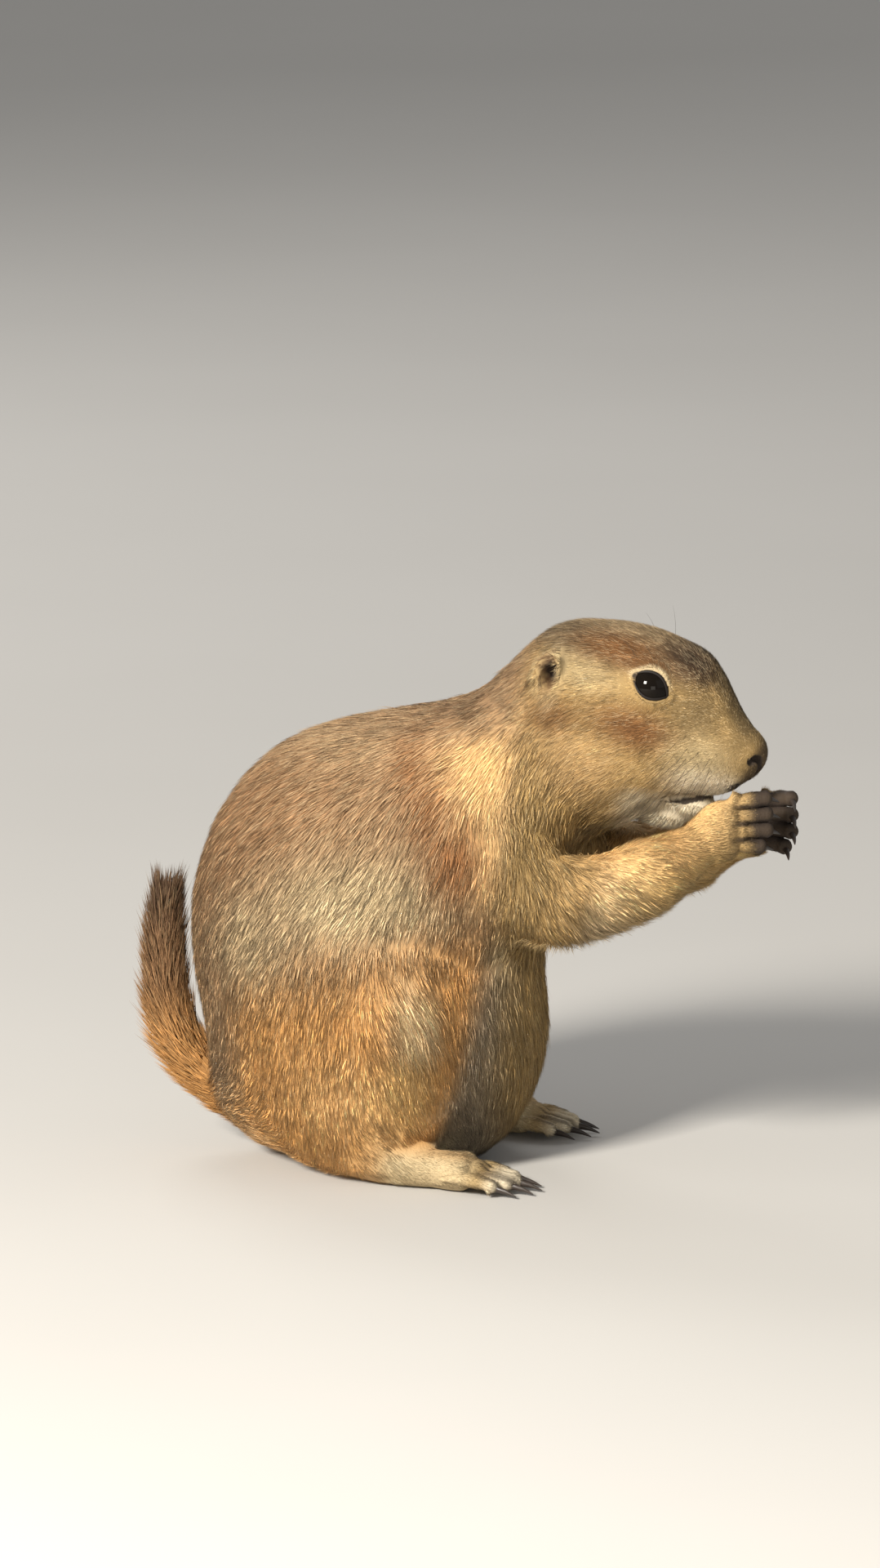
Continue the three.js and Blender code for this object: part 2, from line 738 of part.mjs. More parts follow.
function earPiece(side) {
  const place = inHead(EAR.u + 1.6, (EAR.y + 3.6) * side, EAR.w - 0.6);
  const hollow = ball(place, [EAR.wide - 1.6, EAR.deep - 0.9, EAR.tall - 2], EAR.lean - HEAD.pitch, 12, 8);
  return largest(earBall(side, 0).subtract(hollow));
}

// The mouth: a slit that runs round the front of the muzzle and back to its two corners
function mouthSlit() {
  const outline = new THREE.Shape();
  outline.moveTo(26.5, -20.4);
  outline.quadraticCurveTo(34, -14.2, 60, -12.2);
  outline.lineTo(60, -16.6);
  outline.quadraticCurveTo(36, -18.2, 26.5, -20.4);
  const geometry = new THREE.ExtrudeGeometry(outline, { depth: 40, bevelEnabled: false, curveSegments: 6 });
  geometry.translate(0, 0, -20);
  geometry.rotateX(Math.PI / 2);
  geometry.rotateY(radians(HEAD.pitch));
  geometry.translate(HEAD.x, 0, HEAD.z);
  const core = ball(inHead(26, 0, -17), [14, 6, 9], -HEAD.pitch, 16, 10);
  return solidFrom(geometry).subtract(core);
}

// A nostril: a curved slit from the side of the nose in towards its middle
function nostril(side) {
  const ahead = sub(inHead(1, 0, 0), inHead(0, 0, 0));
  const places = [[6.6, 0.4], [5.4, 1.5], [3.8, 1.2], [2.6, -0.6], [2.3, -2.6]];
  const points = places.map(([y, w]) => surfaceAlong(inHead(30, y * side, w), ahead, 40));
  return loft(points, [0.6, 1.0, 1.3, 1.1, 0.6], 6);
}

function makeHead(piece) {
  let head = lighter(piece, TRIANGLES.head);
  for (const [, side] of SIDES) {
    head = head.add(lidRim(side)).subtract(eyeOpening(side)).subtract(socketBall(side, GAP));
    head = head.subtract(earBall(side, GAP)).subtract(nostril(side));
  }
  return largest(head.subtract(mouthSlit()));
}

// Hands: four long fingers and a thumb, with their claws curled in towards the mouth
function fingerPlaces(side, index) {
  const across = index - (FINGER.count - 1) / 2;
  const long = 1 - 0.09 * Math.abs(across - 0.4);
  const place = [91.5 - across * 0.9, 12 * side, 111 - across * FINGER.spread];
  const root = add(place, handShift(side));
  const aim = unit([1, -0.2 * side, 0.03]);
  const knuckle = add(root, aim, FINGER.length * 0.55 * long);
  const curl = unit([1, -0.75 * side, -0.08]);
  const tip = add(knuckle, curl, FINGER.length * 0.42 * long);
  return { root, knuckle, tip, curl };
}

function fingerClaw(side, index, grow) {
  const { tip, curl } = fingerPlaces(side, index);
  const down = unit([-0.9, -0.6 * side, -0.1]);
  const ahead = unit(add(curl, [0, -0.35 * side, -0.35]));
  return claw(tip, ahead, down, FORE_CLAW, grow);
}

function makeHand(palm, side) {
  const digits = [];
  for (let i = 0; i < FINGER.count; i += 1) {
    const { root, knuckle, tip } = fingerPlaces(side, i);
    digits.push(digit(root, knuckle, tip, FINGER));
  }
  const thumbPlaces = [[87, 9.8, 111.5], [90, 8, 113.2], [92, 7, 112.8]]
    .map(([x, y, z]) => add([x, y * side, z], handShift(side)));
  const thumb = digit(...thumbPlaces, { rootRadius: 2.2, tipRadius: 1.5 });
  let hand = lighter(union([palm, ...digits, thumb]), TRIANGLES.hand);
  for (let i = 0; i < FINGER.count; i += 1) hand = hand.subtract(fingerClaw(side, i, GAP));
  return largest(hand);
}

// Feet: a long flat sole and five toes
function toePlaces(side, index) {
  const across = index - (TOE.count - 1) / 2;
  const long = 1 - 0.075 * across * across;
  const root = [TOE_ROOT.x - 1, (TOE_ROOT.y + across * TOE.spread) * side, 4.6];
  const aim = unit([1, across * 0.075 * side, 0]);
  const knuckle = add(add(root, aim, TOE.length * 0.55 * long), [0, 0, 1], 1);
  const tip = add(root, aim, TOE.length * long);
  tip[2] = 2.3;
  return { root, knuckle, tip, aim };
}

function toeClaw(side, index, grow) {
  const { tip, aim } = toePlaces(side, index);
  return claw(add(tip, [0, 0, 0.7]), aim, [0, 0, -1], HIND_CLAW, grow);
}

function makeFoot(sole, side) {
  const digits = [];
  for (let i = 0; i < TOE.count; i += 1) {
    const { root, knuckle, tip } = toePlaces(side, i);
    digits.push(digit(root, knuckle, tip, TOE));
  }
  let foot = union([sole, ...digits]).intersect(room([0, 0, 0], [0, 0, 1]));
  foot = lighter(foot, TRIANGLES.foot);
  for (let i = 0; i < TOE.count; i += 1) foot = foot.subtract(toeClaw(side, i, GAP));
  return largest(foot);
}

// Tail: a core that curves up behind the rump, dressed in locks on its outer length
const TAIL = {
  path: [[-48, 0, 13], [-57, 0, 13.5], [-66, 0, 17], [-75.5, 0, 24], [-82.5, 0, 33],
    [-86, 0, 44], [-87, 0, 56], [-87, 0, 66], [-86.5, 0, 74], [-86, 0, 79]],
  rootRadius: 8.5,
  bendRadius: 7,
  coreRadius: 3.6,
  brushRadius: 8.6,
};
const LOCK = { rows: 7, around: 7, length: 25, width: 4.3, outline: [0.7, 1, 0.95, 0.68, 0.2] };

function seeded(seed) {
  let state = seed;
  return () => {
    state = (state * 1664525 + 1013904223) % 4294967296;
    return state / 4294967296;
  };
}

// The tail's middle line and the two directions across it, also a little past its end
function alongTail(path, step) {
  const last = path.length - 1;
  const index = Math.min(last - 1, Math.floor(step));
  const along = unit(sub(path[index + 1], path[index]));
  const length = Math.hypot(...sub(path[index + 1], path[index]));
  return { point: add(path[index], along, (step - index) * length), along, thin: cross(along, [0, 1, 0]) };
}

// One flat lock: it leaves the core, lies over along the tail and tapers to its tip
function lock(path, root, angle, size) {
  const steps = LOCK.outline.length;
  const spacing = Math.hypot(...sub(path[1], path[0]));
  const points = [];
  const widths = [];
  let outwardAtTip = [0, 0, 0];
  for (let i = 0; i < steps; i += 1) {
    const t = i / (steps - 1);
    const { point, thin } = alongTail(path, root + t * size.length / spacing);
    const outward = add(scale([0, 1, 0], Math.cos(angle)), thin, Math.sin(angle));
    const rise = size.stand * Math.sin(t * Math.PI * 0.5) ** 0.7 * (1 - size.closing * t * t);
    points.push(add(point, outward, rise));
    widths.push(size.width * LOCK.outline[i]);
    outwardAtTip = outward;
  }
  return loft(points, widths, 4, 0.4, outwardAtTip);
}

function makeTail() {
  const rings = 12;
  const path = curveThrough(TAIL.path, 30);
  const basePath = path.slice(0, rings);
  const brushPath = path.slice(rings - 1);
  const base = loft(basePath, taper(rings, TAIL.rootRadius, TAIL.bendRadius), 10, 1, [0, 1, 0]);
  const corePath = path.slice(rings - 3);
  const coreWidths = taper(corePath.length, TAIL.bendRadius + 0.5, TAIL.coreRadius, 0.7);
  const core = loft(corePath, coreWidths, 10, 1, [0, 1, 0]);
  const socketWidths = taper(rings, TAIL.rootRadius + BOWL_WALL, TAIL.bendRadius + BOWL_WALL);
  const socket = loft(basePath, socketWidths, 10, 1, [0, 1, 0]);
  const random = seeded(7);
  const locks = [];
  for (let row = 0; row < LOCK.rows; row += 1) {
    const t = (row + 0.1) / LOCK.rows;
    const step = t * (brushPath.length - 1);
    for (let turn = 0; turn < LOCK.around; turn += 1) {
      const angle = ((turn + (row % 2) * 0.5 + (random() - 0.5) * 0.3) / LOCK.around) * Math.PI * 2;
      const size = {
        length: LOCK.length * (0.9 + random() * 0.2) * (1 - t * 0.2),
        stand: TAIL.brushRadius * (0.9 + random() * 0.15) * (1 - 0.3 * t) - 1,
        closing: 0.5 * t * t,
        width: LOCK.width,
      };
      locks.push(lock(brushPath, step, angle, size));
    }
  }
  const seam = slab(path[rings - 1], sub(path[rings], path[rings - 2]), 16);
  const beyond = room(path[rings - 1], sub(path[rings], path[rings - 2]));
  const nearSeam = (p) => (Math.hypot(...sub(p, path[rings - 1])) < TAIL.bendRadius * 1.6 ? 40 : 1);
  const brush = lighter(largest(union([core, ...locks])), TRIANGLES.tail_brush, nearSeam);
  return {
    base: largest(base.subtract(beyond).subtract(seam)),
    brush: largest(brush.intersect(beyond).subtract(seam)),
    socket,
  };
}

// Parting the skin into its named pieces
const CUTS = {
  head: slab([41, 0, 136.3], [0.88, 0, 0.474], 36.5, 40),
  neck: slab([25, 0, 124], [0.69, 0, 0.725], 34.5, 44),
};

function insideOf(solid, point) {
  const mesh = solid.getMesh();
  const vertex = (n) => [0, 1, 2].map((k) => mesh.vertProperties[n * mesh.numProp + k]);
  const ray = unit([0.3127, 0.5231, 0.7929]);
  let hits = 0;
  for (let f = 0; f < mesh.triVerts.length; f += 3) {
    const a = vertex(mesh.triVerts[f]);
    const e1 = sub(vertex(mesh.triVerts[f + 1]), a);
    const e2 = sub(vertex(mesh.triVerts[f + 2]), a);
    const h = cross(ray, e2);
    const det = dot(e1, h);
    if (Math.abs(det) < 1e-12) continue;
    const s = scale(sub(point, a), 1 / det);
    const u = dot(s, h);
    if (u < 0 || u > 1) continue;
    const q = cross(s, e1);
    const v = dot(ray, q);
    if (v < 0 || u + v > 1) continue;
    if (dot(e2, q) > 0) hits += 1;
  }
  return hits % 2 === 1;
}

function partSkin(skin) {
  let rest = skin.subtract(CUTS.head).subtract(CUTS.neck);
  for (const [, side] of SIDES) {
    const thighPlace = [-20, 44 * side, 38];
    const thighSize = [40, 24, 52];
    const thighBall = ball(thighPlace, thighSize, 0, BOWL_SIDES, BOWL_ROWS);
    const shankPlace = [4, 42 * side, 22];
    const shankSize = [24, 22, 37];
    const shankBall = ball(shankPlace, shankSize, 0, BOWL_SIDES, BOWL_ROWS);
    const shoulderPlace = [31, 38 * side, 90];
    const shoulderSize = [28, 18, 25];
    const shoulderBall = ball(shoulderPlace, shoulderSize, 0, BOWL_SIDES, BOWL_ROWS);
    const thigh = bowl(thighPlace, thighSize).subtract(shoulderBall);
    const shank = bowl(shankPlace, shankSize).intersect(thighBall);
    const elbowPlace = [ELBOW.x + 4, (ELBOW.y - 1) * side, ELBOW.z + 0.5];
    const elbowTurn = [1, -0.12 * side, 0.2];
    const elbow = slab(elbowPlace, elbowTurn, 17);
    const shoulder = bowl(shoulderPlace, shoulderSize).subtract(room(elbowPlace, elbowTurn));
    const wristPlace = add([84.5, 12.5 * side, 105], handShift(side));
    const wrist = slab(wristPlace, [0.86, -0.3 * side, 0.4], 10.5, 12);
    const ankle = slab([-12, 39 * side, 12.5], [-0.25, 0, 1], 16).intersect(shankBall);
    rest = rest.subtract(thigh).subtract(shank).subtract(shoulder).subtract(elbow);
    rest = rest.subtract(wrist).subtract(ankle);
  }
  return rest.decompose();
}

const ANCHORS = {
  head: inHead(0, 0, 0),
  neck: [33, 0, 129],
  torso: [-20, 0, 80],
};
for (const [name, side] of SIDES) {
  ANCHORS[`thigh_${name}`] = [-30, 44 * side, 50];
  ANCHORS[`shank_${name}`] = [-6, 42 * side, 30];
  ANCHORS[`foot_${name}`] = [10, 41 * side, 4];
  ANCHORS[`upper_arm_${name}`] = [32, 34 * side, 92];
  ANCHORS[`forearm_${name}`] = [65, 24 * side, 95];
  ANCHORS[`hand_${name}`] = add([91, 11 * side, 109], handShift(side));
}

const animal = new THREE.Group();
animal.position.x = -CENTRE_X;

const MATERIALS = {
  fur: { color: 0xb08a5c, roughness: 0.95 },
  crown: { color: 0x8f7152, roughness: 0.95 },
  brush: { color: 0x4a3526, roughness: 0.95 },
  skin: { color: 0x4b4038, roughness: 0.8 },
  eye: { color: 0x0d0a09, roughness: 0.08 },
  horn: { color: 0x2b2521, roughness: 0.45 },
};

function place(name, solid, look) {
  const material = new THREE.MeshStandardMaterial({ ...MATERIALS[look], metalness: 0 });
  const mesh = new THREE.Mesh(geometryOf(solid), material);
  mesh.name = name;
  animal.add(mesh);
}

const pieces = partSkin(makeSkin());
const named = {};
for (const [name, anchor] of Object.entries(ANCHORS)) {
  const found = pieces.filter((piece) => insideOf(piece, anchor));
  if (found.length !== 1) throw new Error(`${name}: ${found.length} pieces hold its anchor`);
  named[name] = found[0];
}

const tail = makeTail();
place('head', makeHead(named.head), 'crown');
const clearOfEars = SIDES.reduce((neck, [, side]) => neck.subtract(earBall(side, GAP)), named.neck);
place('neck', lighter(clearOfEars, TRIANGLES.neck), 'fur');
place('torso', lighter(largest(named.torso.subtract(tail.socket)), TRIANGLES.torso), 'fur');
place('tail_base', tail.base, 'fur');
place('tail_brush', tail.brush, 'brush');
for (const [name, side] of SIDES) {
  for (const limb of ['thigh', 'shank', 'upper_arm', 'forearm']) {
    place(`${limb}_${name}`, lighter(named[`${limb}_${name}`], TRIANGLES[limb]), 'fur');
  }
  place(`foot_${name}`, makeFoot(named[`foot_${name}`], side), 'fur');
  place(`hand_${name}`, makeHand(named[`hand_${name}`], side), 'skin');
  place(`eye_${name}`, socketBall(side, 0), 'eye');
  place(`ear_${name}`, earPiece(side), 'crown');
  for (let i = 0; i < FINGER.count; i += 1) {
    place(`finger_claw_${name}_${i + 1}`, fingerClaw(side, i, 0), 'horn');
  }
  for (let i = 0; i < TOE.count; i += 1) {
    place(`toe_claw_${name}_${i + 1}`, toeClaw(side, i, 0), 'horn');
  }
}

export default animal;
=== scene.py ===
import math

import bmesh
import bpy
import numpy as np
from mathutils import Euler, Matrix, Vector
from mathutils.bvhtree import BVHTree
from mathutils.kdtree import KDTree


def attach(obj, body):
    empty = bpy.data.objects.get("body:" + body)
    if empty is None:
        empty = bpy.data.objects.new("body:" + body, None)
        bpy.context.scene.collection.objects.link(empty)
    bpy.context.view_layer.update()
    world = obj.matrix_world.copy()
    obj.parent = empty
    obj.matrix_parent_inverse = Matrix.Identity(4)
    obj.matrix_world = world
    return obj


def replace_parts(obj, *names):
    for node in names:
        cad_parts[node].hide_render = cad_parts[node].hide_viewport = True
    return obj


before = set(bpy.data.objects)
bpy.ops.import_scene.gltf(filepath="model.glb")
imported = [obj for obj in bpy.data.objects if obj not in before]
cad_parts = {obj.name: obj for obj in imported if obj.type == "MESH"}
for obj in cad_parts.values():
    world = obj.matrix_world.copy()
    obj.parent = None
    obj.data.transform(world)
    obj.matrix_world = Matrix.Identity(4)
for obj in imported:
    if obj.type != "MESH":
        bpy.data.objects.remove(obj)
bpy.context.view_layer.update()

MM = 0.001
CENTRE_X = 8.0                  # the model's own x at the frame's x = 0
rng = np.random.default_rng(1209)
SIDES = (("right", -1), ("left", 1))
FAR = 99.0                      # stands for a place well away from what is measured

# Places and sizes of the parts. On the head u runs to the nose and w to the crown.
HEAD_AT = np.array([50.0, 0.0, 144.0])
HEAD_PITCH = math.radians(18)
EYE = {"u": 15.2, "y": 14.5, "w": 13.8, "radius": 7.1,
       "half_length": 6.1, "half_height": 3.95, "tilt": -13.0, "back": 0.6, "down": 0.2}
ALMOND = {"front": (2.0, 1.0), "back": (2.1, 1.2)}    # powers of the opening along and up: 1 is pointed
# How far the lids stand over the eyeball, how far the skin sinks under it, where the lids end and how wide
# their slope is, in widths of the opening, and how far off the eyeball they still act
LID = {"over": 0.8, "under": 1.2, "reach": 2.1, "slope": 0.9, "depth": 5.0}
EAR = {"u": -14.6, "w": 8.9, "half_width": 3.1, "half_height": 6.9, "rim": 1.3, "hollow": 3.6}
EAR_LEAN = math.radians(18)
CHIN = [(25.5, -24.8, (12.5, 8.0, 6.2)), (38.5, -18.8, (8.5, 6.5, 3.3))]     # swellings: u, w, radii
NOSTRIL = [(6.6, 0.4), (5.4, 1.5), (3.8, 1.2), (2.6, -0.6), (2.3, -2.6)]    # y and w on the nose
MOUTH_START = 26.5              # u of the corner of the mouth
TAIL_PATH = [(-48, 13), (-57, 13.5), (-66, 17), (-75.5, 24), (-82.5, 33),
             (-86, 44), (-87, 56), (-87, 66), (-86.5, 74), (-86, 79)]
TAIL_CORE = [(0.0, 7.4), (0.36, 6.0), (0.6, 4.4), (1.0, 2.2)]   # share of the path, radius
HAND_SHIFT = (4.4, 3.2)         # the left hand is this much further forward, and this much lower
HAND_TOP = 122                  # the hands lie below this and the muzzle above it
FINGER = {"x": 91.5, "y": 12.0, "z": 111.0, "apart": 5.0, "length": 14.0, "radius": 2.5}
TOE = {"x": 17.0, "y": 41.0, "z": 4.6, "apart": 4.1, "length": 17.5, "radius": 2.15}
# A digit's thickness along it: share of its length, share of its radius
DIGIT_SHAPE = [(0, 0.25), (0.22, 0.75), (0.42, 1.0), (0.56, 1.07),
               (0.72, 0.93), (0.87, 1.0), (0.95, 0.72), (1, 0.3)]

# Skin
VOXEL = 0.62
SWELL = 0.4                     # closes the thin cuts between the nodes
SKIN_TRIANGLES = 150000
DEPTH_PER_LENGTH = 0.22         # how deep the skin lies, as a share of the coat's length there
WEB_DEPTH = 1.3                 # how much deeper it lies under the fingers and toes
CHUNK = 20000                   # points handled at a time, to save memory

# Coat
FLOOR_GAP = 0.3                 # no tuft comes nearer the floor than this
GUIDE_SOFTNESS = 9              # added to a guide's squared distance, so that no guide shows as a spot
OTHER_GUIDES = 0.97             # how much less the arm's guides count off the arm, and the others on it
MOST_TRIANGLES = 190000         # in one piece of the coat
LIFT = 15                       # degrees between a tuft's start and the skin
STRAYS = 0.03                   # share of the tufts that are thinner and stand out
CLUMP = 7                       # tufts in a clump
STREAK = 14                     # tufts that share a tone
CELL = 1.5                      # roots are spread evenly over cells of this size
UV_PATCH = 0.003                # size of a tuft's patch of the unwrap
BRUSH_LOCKS = 8500
WHISKER_RADIUS = 0.075

# Colours, linear
RUST = (0.35, 0.15, 0.052)
ORANGE = (0.65, 0.335, 0.105)
BUFF = (0.72, 0.47, 0.18)
GOLD = (0.92, 0.585, 0.255)
CREAM = (0.92, 0.76, 0.48)
PALE = (0.68, 0.54, 0.32)
# Grey buff, made darker than the belly's own pale greyish fur, so that on the belly it is partly painted
# shade; the toes' grey-brown uses it too
GREY_BUFF_AND_SHADE = (0.26, 0.21, 0.15)
BACK = (0.39, 0.24, 0.125)
CROWN = (0.19, 0.13, 0.07)
FOX = (0.31, 0.135, 0.042)
TAIL_FOX = (0.35, 0.175, 0.055)
TAWNY = (0.34, 0.23, 0.10)
SAND = (0.72, 0.55, 0.29)
# The lip's own pale colour, brightened past 1 as painted light on the muzzle's underside, which faces away
# from the lamps; FACE_SHADE scales it back
LIP_AND_PAINTED_LIGHT = (1.40, 1.22, 0.92)
UMBER = (0.16, 0.09, 0.045)
DARK = (0.04, 0.027, 0.02)
LEATHER = (0.030, 0.022, 0.018)
WHITISH = (0.78, 0.68, 0.50)


def vec(*values):
    return np.array(values, float)


def unit(a):
    return a / np.maximum(np.linalg.norm(a, axis=-1, keepdims=True), 1e-9)


def smooth(t):
    t = np.clip(t, 0, 1)
    return t * t * (3 - 2 * t)


def ramp(value, low, high):
    return smooth((value - low) / (high - low))


HEAD_AHEAD = vec(math.cos(HEAD_PITCH), 0, -math.sin(HEAD_PITCH))
HEAD_UP = vec(math.sin(HEAD_PITCH), 0, math.cos(HEAD_PITCH))


def in_head(u, y, w):
    """The model's point for one given in the head's frame: u to the nose, y left, w to the crown."""
    return HEAD_AT + HEAD_AHEAD * u + vec(0, y, 0) + HEAD_UP * w


def to_head(points):
    away = points - HEAD_AT
    return np.stack([away @ HEAD_AHEAD, away[:, 1], away @ HEAD_UP], axis=1)


def from_frame(points):
    return points / MM + vec(CENTRE_X, 0, 0)


def to_frame(points):
    return (points - vec(CENTRE_X, 0, 0)) * MM


# Meshes from arrays
def mesh_from(name, points, triangles):
    """A Blender mesh from points in the model's millimetres and triangles."""
    mesh = bpy.data.meshes.new(name)
    mesh.vertices.add(len(points))
    mesh.vertices.foreach_set("co", to_frame(points).astype(np.float32).ravel())
    mesh.loops.add(triangles.size)
    mesh.loops.foreach_set("vertex_index", triangles.astype(np.int32).ravel())
    mesh.polygons.add(len(triangles))
    mesh.polygons.foreach_set("loop_start", np.arange(0, triangles.size, 3, dtype=np.int32))
    mesh.polygons.foreach_set("use_smooth", np.ones(len(triangles), bool))
    mesh.update(calc_edges=True)
    return mesh


def placed(name, data):
    obj = bpy.data.objects.new(name, data)
    bpy.context.scene.collection.objects.link(obj)
    return obj


def piece(name, mesh, material):
    obj = placed(name, mesh)
    mesh.materials.append(material)
    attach(obj, "root")
    return obj


def paint(mesh, colours):
    layer = mesh.color_attributes.new("coat", "FLOAT_COLOR", "POINT")
    rgba = np.ones((len(colours), 4), np.float32)
    rgba[:, :3] = colours
    layer.data.foreach_set("color", rgba.ravel())


def arrays_of(mesh):
    mesh.calc_loop_triangles()
    points = np.empty(len(mesh.vertices) * 3, np.float32)
    mesh.vertices.foreach_get("co", points)
    triangles = np.empty(len(mesh.loop_triangles) * 3, np.int32)
    mesh.loop_triangles.foreach_get("vertices", triangles)
    return from_frame(points.reshape(-1, 3).astype(float)), triangles.reshape(-1, 3)


def triangle_normals(points, triangles):
    a, b, c = (points[triangles[:, k]] for k in range(3))
    return np.cross(b - a, c - a)


def vertex_normals(points, triangles):
    face = triangle_normals(points, triangles)
    total = np.zeros_like(points)
    for k in range(3):
        for axis in range(3):
            total[:, axis] += np.bincount(triangles[:, k], face[:, axis], len(points))
    return unit(total)


def edges_of(triangles):
    pairs = np.concatenate([triangles[:, [0, 1]], triangles[:, [1, 2]], triangles[:, [2, 0]]])
    return np.unique(np.sort(pairs, axis=1), axis=0)


def averaged(values, edges, rounds, share=0.5):
    """Each vertex's value drawn towards the mean of its neighbours, a number of times."""
    ends = np.concatenate([edges, edges[:, ::-1]])
    count = np.bincount(ends[:, 0], minlength=len(values))[:, None]
    for _ in range(rounds):
        mean = np.empty_like(values)
        for axis in range(values.shape[1]):
            mean[:, axis] = np.bincount(ends[:, 0], values[ends[:, 1], axis], len(values))
        values = values + share * (mean / np.maximum(count, 1) - values)
    return values


# Lie and length of the coat. Each guide is a place, the way the hair points there and its length.
# Guides are given for the left side, and the right side is their mirror image.
GUIDES = [
    # head
    ((101, 4, 131), (-0.5, 0.3, 0.8), 1.3), ((95, 4, 142), (-0.95, 0.15, 0.4), 1.6),
    ((88, 6, 152), (-0.9, 0.15, 0.35), 2.3), ((80, 8, 162), (-0.9, 0.15, 0.25), 2.9),
    ((63, 10, 168), (-1, 0.15, 0.05), 3.2), ((45, 10, 169), (-1, 0.1, -0.15), 4),
    ((28, 8, 160), (-0.9, 0.1, -0.4), 5), ((63, 18, 162), (-0.95, 0.25, 0.05), 2.9),
    ((47, 20, 157), (-0.95, 0.15, -0.2), 3.2), ((83, 14, 148), (-0.9, 0.35, 0.15), 2.2),
    ((89, 13, 138), (-0.9, 0.4, 0.0), 2.1), ((83, 15, 132), (-0.95, 0.3, -0.15), 2.4),
    ((87, 12, 124), (-0.6, 0.2, -0.75), 2.5), ((94, 7, 127), (-0.3, 0.4, -0.85), 1.6),
    ((69, 22, 141), (-0.97, 0.2, -0.1), 3.0), ((57, 26, 132), (-0.95, 0.15, -0.3), 4),
    ((52, 23, 119), (-0.75, 0.1, -0.65), 5.5), ((40, 26, 145), (-0.8, 0.2, -0.6), 4),
    ((36, 24, 158), (-0.85, 0.1, -0.5), 3.6), ((72, 9, 115), (-0.5, 0.1, -0.85), 4.6),
    ((64, 6, 110), (-0.9, 0.1, -0.35), 6.0), ((76, 4, 113), (-0.4, 0.1, -0.9), 4.2),
    ((60, 18, 118), (-0.85, 0.15, -0.5), 4.5), ((71, 19, 128), (-0.95, 0.2, -0.3), 3.4),
    # neck and chest
    ((6, 6, 146), (-0.9, 0.1, -0.45), 6), ((12, 28, 132), (-0.6, 0.25, -0.75), 6.5),
    ((32, 29, 129), (-0.25, 0.2, -0.95), 7), ((27, 39, 112), (0.1, 0.25, -0.95), 7.5),
    ((46, 21, 110), (-0.15, 0.1, -1), 7.5), ((52, 4, 104), (-0.3, 0, -0.95), 7.5),
    # back, flank and rump
    ((-25, 10, 136), (-0.9, 0.12, -0.4), 6), ((-25, 26, 129), (-0.8, 0.25, -0.6), 6),
    ((-56, 20, 114), (-0.65, 0.15, -0.75), 6.5), ((-74, 14, 81), (-0.3, 0.1, -0.95), 6.5),
    ((-51, 44, 79), (-0.45, 0.05, -0.9), 7), ((-20, 46, 92), (-0.5, 0.15, -0.85), 7.5),
    ((0, 44, 108), (-0.4, 0.2, -0.9), 7), ((18, 45, 98), (-0.15, 0.15, -1), 7.5),
    ((-65, 30, 51), (-0.25, 0.1, -0.95), 7), ((-60, 20, 20), (-0.8, 0.05, -0.45), 7),
    ((-47, 28, 8), (-0.8, 0.1, -0.3), 5.5),
    # belly
    ((32, 10, 76), (0.05, 0.05, -1), 9.5), ((29, 16, 56), (0.05, 0.05, -1), 8),
    ((30, 12, 30), (0.0, 0.1, -1), 7), ((20, 33, 50), (0.1, 0.1, -1), 7),
    ((24, 6, 10), (0.1, 0.1, -0.95), 4.5),
    # thigh, shank and foot
    ((-24, 52, 64), (-0.15, 0.05, -1), 8), ((-24, 53, 45), (-0.05, 0, -1), 7.5),
    ((-26, 52, 24), (0.05, 0, -1), 6.5), ((2, 52, 56), (0.45, 0.1, -0.85), 8.5),
    ((1, 50, 34), (0.25, 0, -0.95), 5.5), ((8, 42, 22), (0.35, 0.1, -0.9), 4.5),
    ((-10, 49, 9), (0.6, 0.1, -0.55), 3.2), ((10, 46, 8), (0.95, 0.05, -0.2), 2.0),
    ((26, 41, 7), (1, 0, -0.05), 1.3), ((-24, 44, 6), (-0.2, 0.1, -0.9), 4.5),
]
ARM_GUIDES = [
    ((40, 40, 100), (0.4, 0.1, -0.85), 7), ((50, 38, 92), (0.6, 0.05, -0.75), 6.5),
    ((60, 36, 96), (0.8, -0.05, -0.5), 5.5), ((66, 34, 84), (0.75, -0.1, -0.65), 7.5),
    ((72, 30, 104), (0.9, -0.2, -0.25), 4.2), ((80, 24, 97), (0.85, -0.2, -0.4), 4.8),
    ((88, 18, 108), (0.95, -0.2, 0.1), 2.6), ((94, 15, 112), (1, -0.2, 0.1), 2.0),
    ((103, 12, 112), (1, -0.4, 0.1), 1.5),
]


def guide_arrays():
    """Place, lie and length of every guide, and 1 for those of the arm."""
    at, lie, length = (np.array(column, float) for column in zip(*GUIDES, *ARM_GUIDES))
    return at, unit(lie), length, (np.arange(len(at)) >= len(GUIDES)).astype(float)


GUIDE_AT, GUIDE_LIE, GUIDE_LENGTH, GUIDE_ARM = guide_arrays()


def guided(points, arm):
    """Lie and length of the coat at points; arm is 1 on the forearms and hands and 0 elsewhere."""
    folded = points * vec(1, 0, 1)
    folded[:, 1] = np.abs(points[:, 1])
    lie = np.empty_like(points)
    length = np.empty(len(points))
    for start in range(0, len(points), CHUNK):
        part = slice(start, start + CHUNK)
        away = folded[part, None, :] - GUIDE_AT[None]
        weight = 1 / (np.sum(away * away, axis=2) + GUIDE_SOFTNESS) ** 2
        other = np.abs(arm[part, None] - GUIDE_ARM[None])
        weight = weight * (1 - OTHER_GUIDES * other)
        weight /= weight.sum(axis=1, keepdims=True)
        lie[part] = weight @ GUIDE_LIE
        length[part] = weight @ GUIDE_LENGTH
    lie[:, 1] *= np.sign(points[:, 1]) * smooth(np.abs(points[:, 1]) / 8)
    # the hair parts round the eyes and is shorter there
    for _, side in SIDES:
        near = on_lids(eye_opening(points, side))
        away = unit(points - eye_centre(side))
        lie = unit(lie) * (1 - 0.75 * near)[:, None] + away * (1.1 * near)[:, None]
        length = length * (1 - 0.4 * near)
    return unit(lie), length


